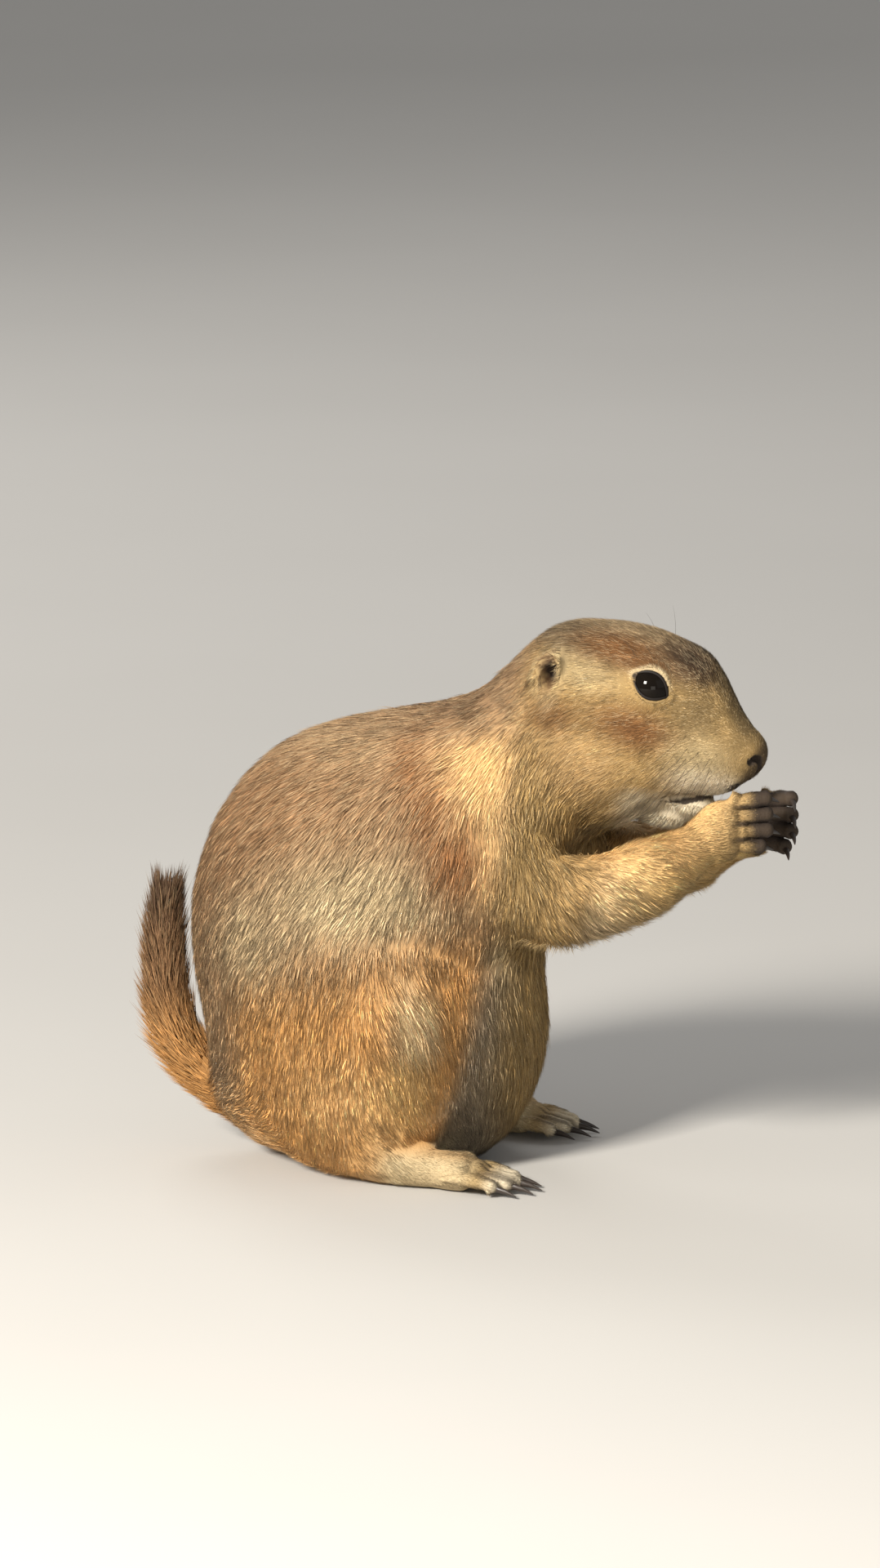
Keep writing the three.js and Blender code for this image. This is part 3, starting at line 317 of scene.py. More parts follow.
# Markings: the same function colours the skin and the tufts
def blob(points, centre, radii):
    """1 at the centre of a soft patch, falling off over its radii; the same on both sides."""
    away = np.stack([points[:, 0], np.abs(points[:, 1]), points[:, 2]], axis=1) - np.array(centre, float)
    return np.exp(-np.sum((away / np.array(radii, float)) ** 2, axis=1) ** 1.5)


def blend(colours, *layers):
    """The colours with new ones laid over them in turn, each given with its share at every point."""
    for new, share in layers:
        colours = colours + (np.array(new, float) - colours) * share[:, None]
    return colours


def patches(points, rows, shade=1.0):
    """Soft patches of colour as layers."""
    return [(np.array(colour) * shade, strength * blob(points, centre, radii))
            for colour, strength, centre, radii in rows]


# Soft patches of the trunk and legs: colour, strength, centre and radii
TRUNK_PATCHES = [
    (UMBER, 0.65, (2, 0, 148), (26, 17, 13)), (RUST, 0.35, (-46, 22, 104), (34, 24, 30)),
    (PALE, 0.15, (-30, 20, 134), (22, 16, 9)), (PALE, 0.78, (-14, 47, 90), (29, 22, 13)),
]
# On the legs, the gold patch low on the thigh is painted light where the thigh turns under, and the cream
# patch on the knee's front is its pale wisps brightened as a painted highlight
LEG_PATCHES = [
    (PALE, 0.55, (-50, 46, 76), (14, 18, 14)), (GOLD, 0.50, (-18, 52, 29), (20, 14, 13)),
    (CREAM, 0.62, (4, 52, 55), (9, 10, 15)), (BUFF, 0.80, (1, 50, 32), (9, 12, 12)),
]
# The rusty band from the nape down behind the shoulder: along the fold where the neck meets the withers it
# is painted shade of the fold, laid in rust; behind the shoulder it is the coat's own rust patch
RUST_BAND_AND_FOLD_SHADE = [
    (RUST, 0.75, (-1, 30, 133), (7, 14, 13)), (RUST, 0.85, (6, 38, 119), (7, 13, 11)),
    (RUST, 0.98, (14, 46, 103), (10, 18, 14)),
]
# Patches of the head, with places in the head's frame
FACE_SHADE = 0.55                # short hair shades itself less, so its own colour is deeper
FACE_PATCHES = [
    (SAND, 0.80, (-5, 19, 12), (12, 9, 5.5)), (FOX, 0.97, (3, 15, 21.5), (19, 9, 5.5)),
    (FOX, 0.98, (16, 21, 1.5), (17, 12, 7)), (TAWNY, 0.90, (31, 14, 11), (11, 9, 9)),
    (UMBER, 0.97, (25, 8, 25), (11, 10, 8)), (DARK, 0.55, (26, 8, 25), (8, 8, 6)),
    (FOX, 0.85, (-9, 25, -3), (9, 12, 7)), (GOLD, 0.80, (2, 25, -14), (15, 12, 10)),
    # the lip patch is the lip's own pale colour brightened as painted light, where the muzzle's underside
    # turns away from the lamps
    (SAND, 0.95, (36, 14, -3), (11, 12, 8)), (LIP_AND_PAINTED_LIGHT, 0.95, (41, 9, -11), (13, 14, 6)),
    # the tawny patch low on the jaw's edge, at (21, 20, -21), is painted shade under the cheek, over the
    # throat's own darker wisps
    (TAWNY, 0.60, (46, 8, 6), (5, 8, 7)), (TAWNY, 0.60, (21, 20, -21), (8, 9, 5)),
]


def before_nape(points):
    """How far points lie ahead of the slanting line where the head meets the neck."""
    head = to_head(points)
    return head[:, 0] + 0.25 * head[:, 2]


def hand_reach(points):
    """How far forward points lie on either hand, measured on the right one."""
    return points[:, 0] - HAND_SHIFT[0] * (points[:, 1] > 0)


def body_colours(points, arm, on_head):
    """Colours of all but the head and tail, and how much of a point is neck and how much low flank."""
    x, y, z = points.T
    side = np.abs(y)
    low = ramp(side, 20, 36) * ramp(86 - z + 0.25 * x, 0, 28) * ramp(x, -66, -46)
    belly = ramp(x + 0.3 * (60 - z), 14, 24) * ramp(94 - z, 0, 12) * ramp(41 - side, 0, 7) * (1 - arm)
    neck = ramp(x + 0.35 * (z - 100), 6, 34) * ramp(z, 82, 94) * ramp(158 - z + 0.5 * side, 6, 30)
    neck = neck * (1 - on_head) * (1 - arm) * ramp(side + 0.8 * (125 - z), 6, 22)
    # the forearm's underside, which takes painted shade
    under = arm * ramp(89 - z + 0.4 * (x - 60), 0, 8)
    foot = ramp(16 - z, 0, 8) * ramp(x, -18, -4) * ramp(side, 24, 30)
    colours = blend(
        np.tile(np.array(BACK), (len(points), 1)),
        *patches(points, TRUNK_PATCHES),
        (ORANGE, 0.92 * low),
        (ORANGE, 0.6 * ramp(30 - z, 0, 16) * ramp(-x, 16, 36)),
        *patches(points, LEG_PATCHES),
        # the belly's greyish fur, darkened as painted shade
        (GREY_BUFF_AND_SHADE, 0.95 * belly),
        (CREAM, 0.8 * blob(points, (30, 18, 74), (9, 22, 9)) * (1 - arm)),
        (GOLD, 0.97 * neck),
        # painted light: a cream patch on the throat, where the cheek shades the neck
        (CREAM, 0.45 * blob(points, (42, 30, 110), (15, 16, 18)) * neck),
        *patches(points, RUST_BAND_AND_FOLD_SHADE),
        (BUFF, arm),
        # painted light and shade over the arm's own buff: lighter gold on its top, tawny on its underside
        (GOLD, 0.8 * arm * ramp(z - 88 - 0.3 * (x - 60), 0, 10)),
        (TAWNY, 0.45 * under),
        (np.array(PALE) * 0.85, 0.95 * foot),
        (GREY_BUFF_AND_SHADE, 0.8 * foot * ramp(x, 20, 32)))
    return colours, neck, low


def face_colours(points):
    """Colours of the head, and how much of a point is crown."""
    head = to_head(points)
    u, v, w = head[:, 0], np.abs(head[:, 1]), head[:, 2]
    crown = ramp(w - 0.1 * u, 12, 19) * ramp(24 - v, 0, 8)
    bridge = ramp(u, 20, 32) * ramp(w, 3, 9) * ramp(10 - v, 0, 5)
    ring = np.maximum(eye_ring(points, 1), eye_ring(points, -1))
    ears = np.minimum(ear_reach(points, 1), ear_reach(points, -1))
    colours = blend(
        np.tile(np.array(BUFF) * FACE_SHADE, (len(points), 1)),
        (CROWN, 0.95 * crown),
        (np.array(TAWNY) * 0.4, 0.9 * bridge),
        *patches(head, FACE_PATCHES, FACE_SHADE),
        (WHITISH, 0.9 * ramp(-w, 15, 18) * ramp(u, 16, 24)),
        (CREAM, 0.5 * ring * ramp(w, 14, 18) + 0.06 * ring * ramp(16 - w, 0, 6)),
        (PALE, 0.2 * ramp(1.9 - ears, 0, 0.5)),
        (UMBER, 0.95 * ramp(1.0 - ears, 0, 0.35)),
        # painted shade on the front of the nose's tip
        (DARK, 0.8 * ramp(u - 0.15 * w, 48.5, 51.5)))
    return colours, crown


def digit_gap_shade(points):
    """Painted shade in the gaps where the digits touch: 1 between the fingers, and less between the toes.
    """
    x, y, z = points.T
    row = (z + HAND_SHIFT[1] * (y > 0) - FINGER["z"]) / FINGER["apart"]
    hand = ramp(0.28 - np.abs(row - np.round(row)), 0, 0.2) * ramp(hand_reach(points), 92, 96.5)
    row = (np.abs(y) - TOE["y"]) / TOE["apart"] - 0.5
    foot = 0.7 * ramp(0.24 - np.abs(row - np.round(row)), 0, 0.14) * ramp(x, 20, 24)
    return np.maximum(hand * (z < HAND_TOP), foot * (z < 9))


def markings(points, arm, tail):
    """Colour of the coat's middle and of its tips, and how many tufts have pale or dark tips."""
    z = points[:, 2]
    on_head = ramp(before_nape(points), -26, -14) * (1 - arm)
    middle, neck, low = body_colours(points, arm, on_head)
    face, crown = face_colours(points)
    middle = blend(
        middle,
        (face, on_head),
        (TAWNY, 0.75 * arm * ramp(hand_reach(points), 85, 95) * (z < HAND_TOP)),
        # painted shade in the gaps between the fingers and toes
        (DARK, 0.92 * digit_gap_shade(points)),
        (TAIL_FOX, 0.92 * tail),
        (UMBER, 0.92 * tail * ramp(z, 26, 50)),
        (DARK, 0.72 * tail * ramp(z, 48, 76)))
    light = np.minimum(middle[:, 1:2] / 0.25, 1)
    tip = middle * (1.08 - 0.2 * light) + np.array(CREAM) * 0.12 * light
    plain = np.maximum(neck, arm)
    pale = (0.33 - 0.18 * plain - 0.17 * on_head) * (1 - 0.8 * tail) * (1 - 0.5 * low) * light[:, 0]
    pale = np.maximum(pale, 0.16 * on_head * crown)
    dark = 0.22 * (1 - plain) * (1 - on_head) * (1 - 0.7 * low) + 0.10 * on_head * (1 + 1.8 * crown)
    return middle, tip, pale, dark


# The skin
FLESH = ["head", "neck", "torso", "tail_base"]
for side_name, _ in SIDES:
    FLESH += [f"{limb}_{side_name}" for limb in
              ("thigh", "shank", "upper_arm", "forearm", "foot", "hand", "ear")]


def merged_copy(name):
    """Points and triangles of a node, with vertices that share a place made one."""
    work = bmesh.new()
    work.from_mesh(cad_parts[name].data)
    bmesh.ops.remove_doubles(work, verts=work.verts, dist=1e-6)
    bmesh.ops.triangulate(work, faces=work.faces)
    mesh = bpy.data.meshes.new(name + "_work")
    work.to_mesh(mesh)
    work.free()
    points, triangles = arrays_of(mesh)
    bpy.data.meshes.remove(mesh)
    return points, triangles


def sphere(centre, radius, across=48, down=32):
    work = bmesh.new()
    bmesh.ops.create_uvsphere(work, u_segments=across, v_segments=down, radius=radius)
    bmesh.ops.triangulate(work, faces=work.faces)
    points = np.array([v.co for v in work.verts], float) + centre
    triangles = np.array([[v.index for v in face.verts] for face in work.faces])
    work.free()
    return points, triangles


def joined(parts):
    """Several pairs of points and triangles as one."""
    starts = np.cumsum([0] + [len(points) for points, _ in parts[:-1]])
    triangles = [part[1] + start for part, start in zip(parts, starts)]
    return np.concatenate([points for points, _ in parts]), np.concatenate(triangles)


def tube(path, radii, sides=12):
    """A closed tube along a path."""
    path = np.array(path, float)
    along = unit(np.gradient(path, axis=0))
    across = unit(vec(0, 1, 0) - along * along[:, 1:2])
    return ringed(path, across, np.cross(along, across), radii, sides)


def ringed(path, across, up, radii, sides):
    """A closed tube of rings that stand across and up from the points of a path."""
    turn = np.arange(sides) / sides * 2 * math.pi
    ring = across[:, None] * np.cos(turn)[None, :, None] + up[:, None] * np.sin(turn)[None, :, None]
    return closed_loft(path[:, None] + ring * np.array(radii, float)[:, None, None])


def closed_loft(rings):
    """Points and triangles of a tube given as rings, closed by a fan at each end."""
    count, sides = rings.shape[:2]
    points = np.concatenate([rings.reshape(-1, 3), [rings[0].mean(axis=0)], [rings[-1].mean(axis=0)]])
    triangles = []
    for ring in range(count - 1):
        for s in range(sides):
            a, b = ring * sides + s, ring * sides + (s + 1) % sides
            triangles += [(a, b, b + sides), (a, b + sides, a + sides)]
    last = (count - 1) * sides
    for s in range(sides):
        t = (s + 1) % sides
        triangles += [(count * sides, t, s), (count * sides + 1, last + s, last + t)]
    triangles = np.array(triangles)
    volume = np.sum(points[triangles[:, 0]] * triangle_normals(points, triangles))
    return points, triangles if volume > 0 else triangles[:, ::-1]


def tail_line(count):
    """Points at even steps along the tail's middle line."""
    rough = np.array([(x, 0, z) for x, z in TAIL_PATH], float)
    steps = np.concatenate([[0], np.cumsum(np.linalg.norm(np.diff(rough, axis=0), axis=1))])
    at = np.linspace(0, steps[-1], count)
    line = np.stack([np.interp(at, steps, rough[:, axis]) for axis in range(3)], axis=1)
    for _ in range(4):
        line[1:-1] = 0.5 * line[1:-1] + 0.25 * (line[:-2] + line[2:])
    return line


TAIL_LINE = tail_line(60)
TAIL_ALONG = unit(np.gradient(TAIL_LINE, axis=0))


def shaped(share, shape):
    """The value at a share of a length, from pairs of a share and a value."""
    return np.interp(share, [at for at, _ in shape], [value for _, value in shape])


def eye_centre(side):
    return in_head(EYE["u"], EYE["y"] * side, EYE["w"])


def eye_axes(side):
    """Out, along and up axes of an eye's opening."""
    out = unit(HEAD_AHEAD * 0.2 + vec(0, 0.95 * side, 0) + HEAD_UP * 0.26)
    ahead = HEAD_AHEAD + HEAD_UP * math.tan(math.radians(EYE["tilt"]))
    along = unit(ahead - out * (ahead @ out))
    up = np.cross(out, along)
    return out, along, up * math.copysign(1, up[2])


def almond_powers(front):
    """Powers of the eye's opening along and up, where front says which end it is."""
    return [np.where(front, ALMOND["front"][k], ALMOND["back"][k]) for k in range(2)]


def almond(steps, grow):
    """Points round an eye's opening, along and up, this much larger than the opening."""
    turn = (np.arange(steps) + 0.5) / steps * 2 * math.pi
    power, rise = almond_powers(np.cos(turn) > 0)
    along = np.sign(np.cos(turn)) * np.abs(np.cos(turn)) ** (2 / power)
    up = np.sign(np.sin(turn)) * np.abs(np.sin(turn)) ** (2 / rise)
    return along * (EYE["half_length"] + grow) - EYE["back"], up * (EYE["half_height"] + grow) - EYE["down"]


def eye_opening(points, side):
    """How far out points are from the middle of an eye's opening: 1 is its margin."""
    out, along, up = eye_axes(side)
    away = points - eye_centre(side)
    ahead = away @ along + EYE["back"]
    a = np.abs(ahead) / EYE["half_length"]
    b = np.abs(away @ up + EYE["down"]) / EYE["half_height"]
    power, rise = almond_powers(ahead > 0)
    return np.where(away @ out < 0, FAR, (a ** power + b ** rise) ** (2 / (power + rise)))


def on_lids(opening):
    """1 on the lids close to the eye's opening, 0 beyond them."""
    return ramp(LID["reach"] - opening, 0, LID["slope"])


def eye_ring(points, side):
    """1 on the pale ring of fur round an eye."""
    opening = eye_opening(points, side)
    return ramp(opening, 0.9, 1.1) * ramp(1.42 - opening, 0, 0.25)


def digit(start, middle, end, radius):
    """A finger or toe: a bent tube with a swelling at its joint and a rounded end."""
    t = np.linspace(0, 1, 22)[:, None]
    path = start * (1 - t) ** 2 + middle * 2 * t * (1 - t) + end * t * t
    return tube(path, shaped(t[:, 0], DIGIT_SHAPE) * radius, 16)


def finger(index, side):
    place = index - 1.5
    long = FINGER["length"] * (1 - 0.09 * abs(place - 0.4))
    root = vec(FINGER["x"] - 0.9 * place, FINGER["y"] * side, FINGER["z"] - FINGER["apart"] * place)
    root = root + vec(HAND_SHIFT[0], 0, -HAND_SHIFT[1]) * (side > 0)
    knuckle = root + unit(vec(1, -0.2 * side, 0.03)) * 0.6 * long
    tip = knuckle + unit(vec(1, -0.75 * side, -0.08)) * 0.48 * long
    wrist = root - vec(6, 0, 0) + vec(0, 0, FINGER["apart"] * place * 0.5)
    return digit(wrist, knuckle + vec(1, 0.5 * side, 0), tip, FINGER["radius"])


def toe(index, side):
    place = index - 2
    long = TOE["length"] * (1 - 0.075 * place ** 2)
    root = vec(TOE["x"], (TOE["y"] + TOE["apart"] * place) * side, TOE["z"])
    ahead = unit(vec(1, 0.075 * place * side, 0))
    tip = root + ahead * long
    tip[2] = 2.5
    return digit(root - vec(6, 0, 0), root + ahead * 0.55 * long + vec(0, 0, 1.6), tip, TOE["radius"])


def digits():
    """Points and triangles of every finger and toe."""
    made = []
    for _, side in SIDES:
        made += [finger(index, side) for index in range(4)]
        made += [toe(index, side) for index in range(5)]
    return made


def digit_share(points):
    """1 where the skin runs under the fingers and toes, so that it is thinned to a web there."""
    hand = ramp(hand_reach(points), 93, 97) * (points[:, 2] < HAND_TOP)
    foot = ramp(points[:, 0], 17, 21) * (points[:, 2] < 12) * (np.abs(points[:, 1]) > 26)
    return np.maximum(hand, foot)


def ear_reach(points, side):
    """How far out points are from the middle of an ear's opening: 1 is its rim."""
    head = to_head(points)
    du, dw = head[:, 0] - EAR["u"], head[:, 2] - EAR["w"]
    a = (du * math.cos(EAR_LEAN) + dw * math.sin(EAR_LEAN)) / EAR["half_width"]
    b = (-du * math.sin(EAR_LEAN) + dw * math.cos(EAR_LEAN)) / EAR["half_height"]
    return np.where(points[:, 1] * side > 14, np.hypot(a, b), FAR)


def ear_shaped(points, side):
    """The ear: a low furry rim, highest behind and above, round a hollow."""
    head = to_head(points)
    reach = ear_reach(points, side)
    du, dw = head[:, 0] - EAR["u"], head[:, 2] - EAR["w"]
    tall = 0.5 + 0.5 * np.cos(np.arctan2(dw, -du) - math.radians(30))
    rim = np.exp(-((reach - 1.05) / 0.28) ** 2) * (0.35 + 0.65 * tall)
    hollow = ramp(0.8 - reach, 0, 0.45)
    out = unit(vec(0, side, 0) * 0.93 + HEAD_UP * 0.2 - HEAD_AHEAD * 0.15)
    return points + out * (EAR["rim"] * rim - EAR["hollow"] * hollow)[:, None]


def raw_skin():
    """The flesh nodes, jaw, eyes and tail's core as one closed surface."""
    parts = []
    for name in FLESH:
        points, triangles = merged_copy(name)
        parts.append((points + vertex_normals(points, triangles) * SWELL, triangles))
    for u, w, radii in CHIN:
        ball, triangles = sphere(vec(0, 0, 0), 1)
        points = in_head(u, 0, w) + np.outer(ball[:, 0] * radii[0], HEAD_AHEAD) + (
            np.outer(ball[:, 1] * radii[1], vec(0, 1, 0)) + np.outer(ball[:, 2] * radii[2], HEAD_UP))
        parts.append((points, triangles))
    for _, side in SIDES:
        parts.append(sphere(eye_centre(side), EYE["radius"]))
    parts.append(tube(TAIL_LINE, shaped(np.linspace(0, 1, len(TAIL_LINE)), TAIL_CORE)))
    return largest_island(*modified(*joined(parts), "REMESH", mode="VOXEL", voxel_size=VOXEL * MM))


def modified(points, triangles, kind, care=None, **settings):
    """Points and triangles after a modifier, which may be led by how much care each point needs."""
    mesh = mesh_from("work", points, triangles)
    obj = placed("work", mesh)
    if care is not None:
        group = obj.vertex_groups.new(name="care")
        levels = np.round(care * 20).astype(int)
        for level in np.unique(levels):
            group.add(np.nonzero(levels == level)[0].tolist(), max(level / 20, 0.01), "REPLACE")
    modifier = obj.modifiers.new(kind, kind)
    for key, value in settings.items():
        setattr(modifier, key, value)
    graph = bpy.context.evaluated_depsgraph_get()
    made = bpy.data.meshes.new_from_object(obj.evaluated_get(graph))
    bpy.data.objects.remove(obj)
    bpy.data.meshes.remove(mesh)
    return arrays_of(made)


def largest_island(points, triangles):
    label = np.arange(len(points))
    while True:
        low = label[triangles].min(axis=1)
        after = label.copy()
        for k in range(3):
            np.minimum.at(after, triangles[:, k], low)
        after = after[after]
        if np.array_equal(after, label):
            break
        label = after
    keep = label == np.bincount(label).argmax()
    order = np.cumsum(keep) - 1
    return points[keep], order[triangles[keep[triangles[:, 0]]]]


def tree_of(names):
    points, triangles = joined([merged_copy(name) for name in names])
    return BVHTree.FromPolygons(points.tolist(), triangles.tolist())


ARM_FLESH = [name for name in FLESH if name.startswith(("forearm", "hand"))]
ARM_TREE = tree_of(ARM_FLESH)
BODY_TREE = tree_of([name for name in FLESH if name not in ARM_FLESH])


def arm_share(points):
    """1 on the forearms and hands, 0 on the rest."""
    share = np.empty(len(points))
    for i, p in enumerate(points):
        to_arm = ARM_TREE.find_nearest(p, 12.0)[3]
        if to_arm is None:
            share[i] = 0
            continue
        to_body = BODY_TREE.find_nearest(p)[3]
        share[i] = 1 / (1 + math.exp(min(30, (to_arm - to_body) * 2)))
    return share


def tail_share(points):
    """1 on the tail beyond its base, 0 on the trunk."""
    x, y, z = points.T
    near = np.empty(len(points))
    for start in range(0, len(points), CHUNK):
        away = np.linalg.norm(points[start:start + CHUNK, None] - TAIL_LINE[None], axis=2)
        near[start:start + CHUNK] = ramp(12 - away.min(axis=1), 0, 3)
    return ramp(-x + 0.5 * (30 - z) * (z < 30), 62, 74) * (np.abs(y) < 16) * near


def make_skin():
    points, triangles = raw_skin()
    points = averaged(points, edges_of(triangles), 6)
    x, z = points[:, 0], points[:, 2]
    care = np.maximum(ramp(before_nape(points), -20, -4) * (z > 104), (x > 82) & (z > 96))
    care = np.maximum(care, (z < 12) & (x > -4))
    points, triangles = modified(
        points, triangles, "DECIMATE", care, ratio=SKIN_TRIANGLES / len(triangles), vertex_group="care",
        invert_vertex_group=True, vertex_group_factor=0.7)
    normals = vertex_normals(points, triangles)
    edges = edges_of(triangles)
    arm = averaged(arm_share(points)[:, None], edges, 6)[:, 0]
    length = guided(points, arm)[1]
    depth = DEPTH_PER_LENGTH * length * (1 - tail_share(points)) + SWELL
    depth = averaged(depth[:, None], edges, 12)[:, 0] + WEB_DEPTH * digit_share(points)
    normals = unit(averaged(normals, edges, 8))
    points = averaged(points - normals * depth[:, None], edges, 2, 0.3)
    points[:, 2] = np.maximum(points[:, 2], 0.15)
    for _, side in SIDES:
        points = lids_raised(points, side)
        points = nostril_sunk(points, side)
        points = ear_shaped(points, side)
    points, triangles = joined([(points, triangles)] + digits())
    return points, triangles, edges_of(triangles)


def lids_raised(points, side):
    """The skin stands over the eyeball as lids outside the opening, and sinks into it inside."""
    away = points - eye_centre(side)
    reach = np.linalg.norm(away, axis=1)
    opening = eye_opening(points, side)
    at_eye = (opening < LID["reach"]) & (reach < EYE["radius"] + LID["depth"])
    lid = EYE["radius"] + LID["over"]
    raised = np.where(reach > lid, reach, reach + (lid - reach) * on_lids(opening))
    new = np.where(opening < 1, np.minimum(reach, EYE["radius"] - LID["under"]), raised)
    scale = np.where(at_eye, new / np.maximum(reach, 1e-6), 1)
    return eye_centre(side) + away * scale[:, None]


def nostril_distance(points, side):
    """Distance to a nostril's curve across the front of the nose, in the head's y and w."""
    head = to_head(points)
    flat = np.stack([head[:, 1] * side, head[:, 2]], axis=1)
    best = np.full(len(points), FAR)
    places = np.array(NOSTRIL)
    for a, b in zip(places[:-1], places[1:]):
        along = b - a
        t = np.clip(((flat - a) @ along) / (along @ along), 0, 1)
        best = np.minimum(best, np.linalg.norm(flat - a - t[:, None] * along, axis=1))
    return np.where(head[:, 0] > 38, best, FAR)


def nostril_sunk(points, side):
    depth = 2.2 * ramp(1.25 - nostril_distance(points, side), 0, 0.8)
    return points - HEAD_AHEAD * depth[:, None]


# Tufts
def scattered(points, triangles, density):
    """Roots spread over the surface: triangle and weights of each, evenly in space by density."""
    middle = points[triangles].mean(axis=1)
    area = np.linalg.norm(triangle_normals(points, triangles), axis=1) / 2
    share = area * density[triangles].mean(axis=1)
    order = np.argsort(space_filling(middle))
    total = np.cumsum(share[order])
    count = int(total[-1])
    at = (np.arange(count) + rng.random(count)) / count * total[-1]
    face = order[np.minimum(np.searchsorted(total, at), len(order) - 1)]
    a = np.sqrt(rng.random(count))
    b = rng.random(count)
    weights = np.stack([1 - a, a * (1 - b), a * b], axis=1)
    return face, weights


def space_filling(middle):
    """Place of each point on a curve through all cells, by interleaving the bits of their indices."""
    cell = ((middle - middle.min(axis=0)) / CELL).astype(np.int64)
    code = np.zeros(len(middle), np.int64)
    for bit in range(9):
        for axis in range(3):
            code |= ((cell[:, axis] >> bit) & 1) << (3 * bit + axis)
    return code


def tuft_lines(root, normal, lie, length, lift, droop=0.32, sunk=0.3):
    """Base, middle and tip of each tuft, with its directions across and through its thickness."""
    tangent = unit(lie - normal * np.sum(lie * normal, axis=1, keepdims=True))
    across = np.cross(normal, tangent)
    rise = np.radians(lift)
    first = tangent * np.cos(rise)[:, None] + normal * np.sin(rise)[:, None]
    second = tangent * np.cos(rise * droop)[:, None] + normal * np.sin(rise * droop)[:, None]
    base = root - normal * sunk
    middle = root + first * (length * 0.42)[:, None]
    tip = middle + second * (length * 0.58)[:, None]
    return base, middle, tip, across, np.cross(first, across)


# Triangles of a tuft's points and the points' places in its patch of the unwrap, for tufts of one ring
# of three points and a tip, and of two rings and a tip
CORNERS = {1: [(0, 2, 1), (0, 1, 3), (1, 2, 3), (2, 0, 3)],
           2: [(0, 2, 1), (0, 1, 4), (0, 4, 3), (3, 4, 6), (1, 2, 5), (1, 5, 4), (4, 5, 6),
               (2, 0, 3), (2, 3, 5), (5, 3, 6)]}
PATCH = {1: [(0, 0), (0.35, 0), (0.18, 0.1), (0.18, 1)],
         2: [(0, 0), (0.35, 0), (0.18, 0.1), (0, 0.5), (0.35, 0.5), (0.18, 0.6), (0.18, 1)]}


def tuft_mesh(name, rings, root, base, middle, tip, across, thick, width, *colours):
    """Closed tapering tufts of one or two rings, painted and unwrapped."""
    half = (width / 2)[:, None]
    ring = []
    for place, scale in [(base, 0.9), (middle, 1.0)][:rings]:
        ring += [place + across * half * scale, place - across * half * scale,
                 place - thick * half * 1.1 * scale]
    points = np.stack(ring + [tip], axis=1)
    points[:, :, 2] = np.maximum(points[:, :, 2], FLOOR_GAP)
    count, size = points.shape[:2]
    corners = np.array(CORNERS[rings])
    sample = points[count // 2] - points[count // 2].mean(axis=0)
    if np.sum(sample[corners[:, 0]] * triangle_normals(sample, corners)) < 0:
        corners = corners[:, ::-1]
    triangles = (corners[None] + size * np.arange(count)[:, None, None]).reshape(-1, 3)
    mesh = mesh_from(name, points.reshape(-1, 3), triangles)
    shades = [colour for colour in colours[:rings] for _ in range(3)] + [colours[-1]]
    paint(mesh, np.stack(shades, axis=1).reshape(-1, 3))
    unwrap(root, mesh, corners, np.array(PATCH[rings]) * UV_PATCH)
    return mesh


def unwrap(roots, mesh, corners, patch):
    """Each tuft is a small patch at its root's place on an unwrap round the piece's own middle."""
    away = roots - roots.mean(axis=0) * vec(1, 0, 1)
    angle = np.arctan2(away[:, 1], away[:, 0]) / (2 * math.pi) + 0.5
    place = [(part - part.min()) / max(np.ptp(part), 1e-6) for part in (angle, roots[:, 2])]
    place = np.stack(place, axis=1) * (1 - 4 * UV_PATCH) + 2 * UV_PATCH
    uv = place[:, None, None] + patch[corners][None]
    layer = mesh.uv_layers.new(name="OFBake")
    layer.data.foreach_set("uv", uv.astype(np.float32).ravel())


def nearest_of(places, points):
    """Index of the nearest place to each point."""
    tree = KDTree(len(places))
    for i, place in enumerate(places):
        tree.insert(place, i)
    tree.balance()
    return np.array([tree.find(p)[1] for p in points])


def clumped(root, tips, every, pull):
    """Tips drawn together in clumps, each round one tuft."""
    centres = np.sort(rng.choice(len(root), max(1, len(root) // every), replace=False))
    nearest = nearest_of(root[centres], root)
    return tips + (tips[centres[nearest]] - tips) * pull[:, None]


def streaked(root, lie, length, every):
    """A random value that is shared along short streaks, which run with the lie of the hair."""
    centres = rng.choice(len(root), max(1, len(root) // every), replace=False)
    behind = root - lie * (length * rng.uniform(0, 1.6, len(root)))[:, None]
    return rng.normal(0, 1, len(centres))[nearest_of(root[centres], behind)]


def mottle(points, size, waves):
    """A smooth wandering value about 0, which changes over this many millimetres."""
    total = np.zeros(len(points))
    for _ in range(waves):
        direction = unit(rng.normal(0, 1, 3)) * 2 * math.pi / (size * rng.uniform(0.7, 1.6))
        total += np.sin(points @ direction + rng.uniform(0, 2 * math.pi))
    return total * math.sqrt(2 / waves)


# Materials
def fill(tree, node, inputs):
    """Sets each input of a node to its value, or links it to its socket."""
    for key, value in inputs.items():
        if isinstance(value, bpy.types.NodeSocket):
            tree.links.new(value, node.inputs[key])
        else:
            node.inputs[key].default_value = value


def outputs(tree, kind, inputs, **settings):
    """The outputs of a new node."""
    node = tree.nodes.new("ShaderNode" + kind)
    for key, value in settings.items():
        setattr(node, key, value)
    fill(tree, node, inputs)
    return node.outputs


def material(name, inputs_of):
    made = bpy.data.materials.new(name)
    made.use_nodes = True
    tree = made.node_tree
    fill(tree, tree.nodes["Principled BSDF"], inputs_of(tree))
    return made


def noise(tree, scale):
    """Noise in the object's own metres."""
    place = outputs(tree, "TexCoord", {})["Object"]
    return outputs(tree, "TexNoise", {"Scale": scale, "Detail": 3.0, "Vector": place})["Fac"]


def ranged(tree, scale, low, high):
    """Noise that runs between two values."""
    spread = {"To Min": low, "To Max": high, "Value": noise(tree, scale)}
    return outputs(tree, "MapRange", spread)["Result"]


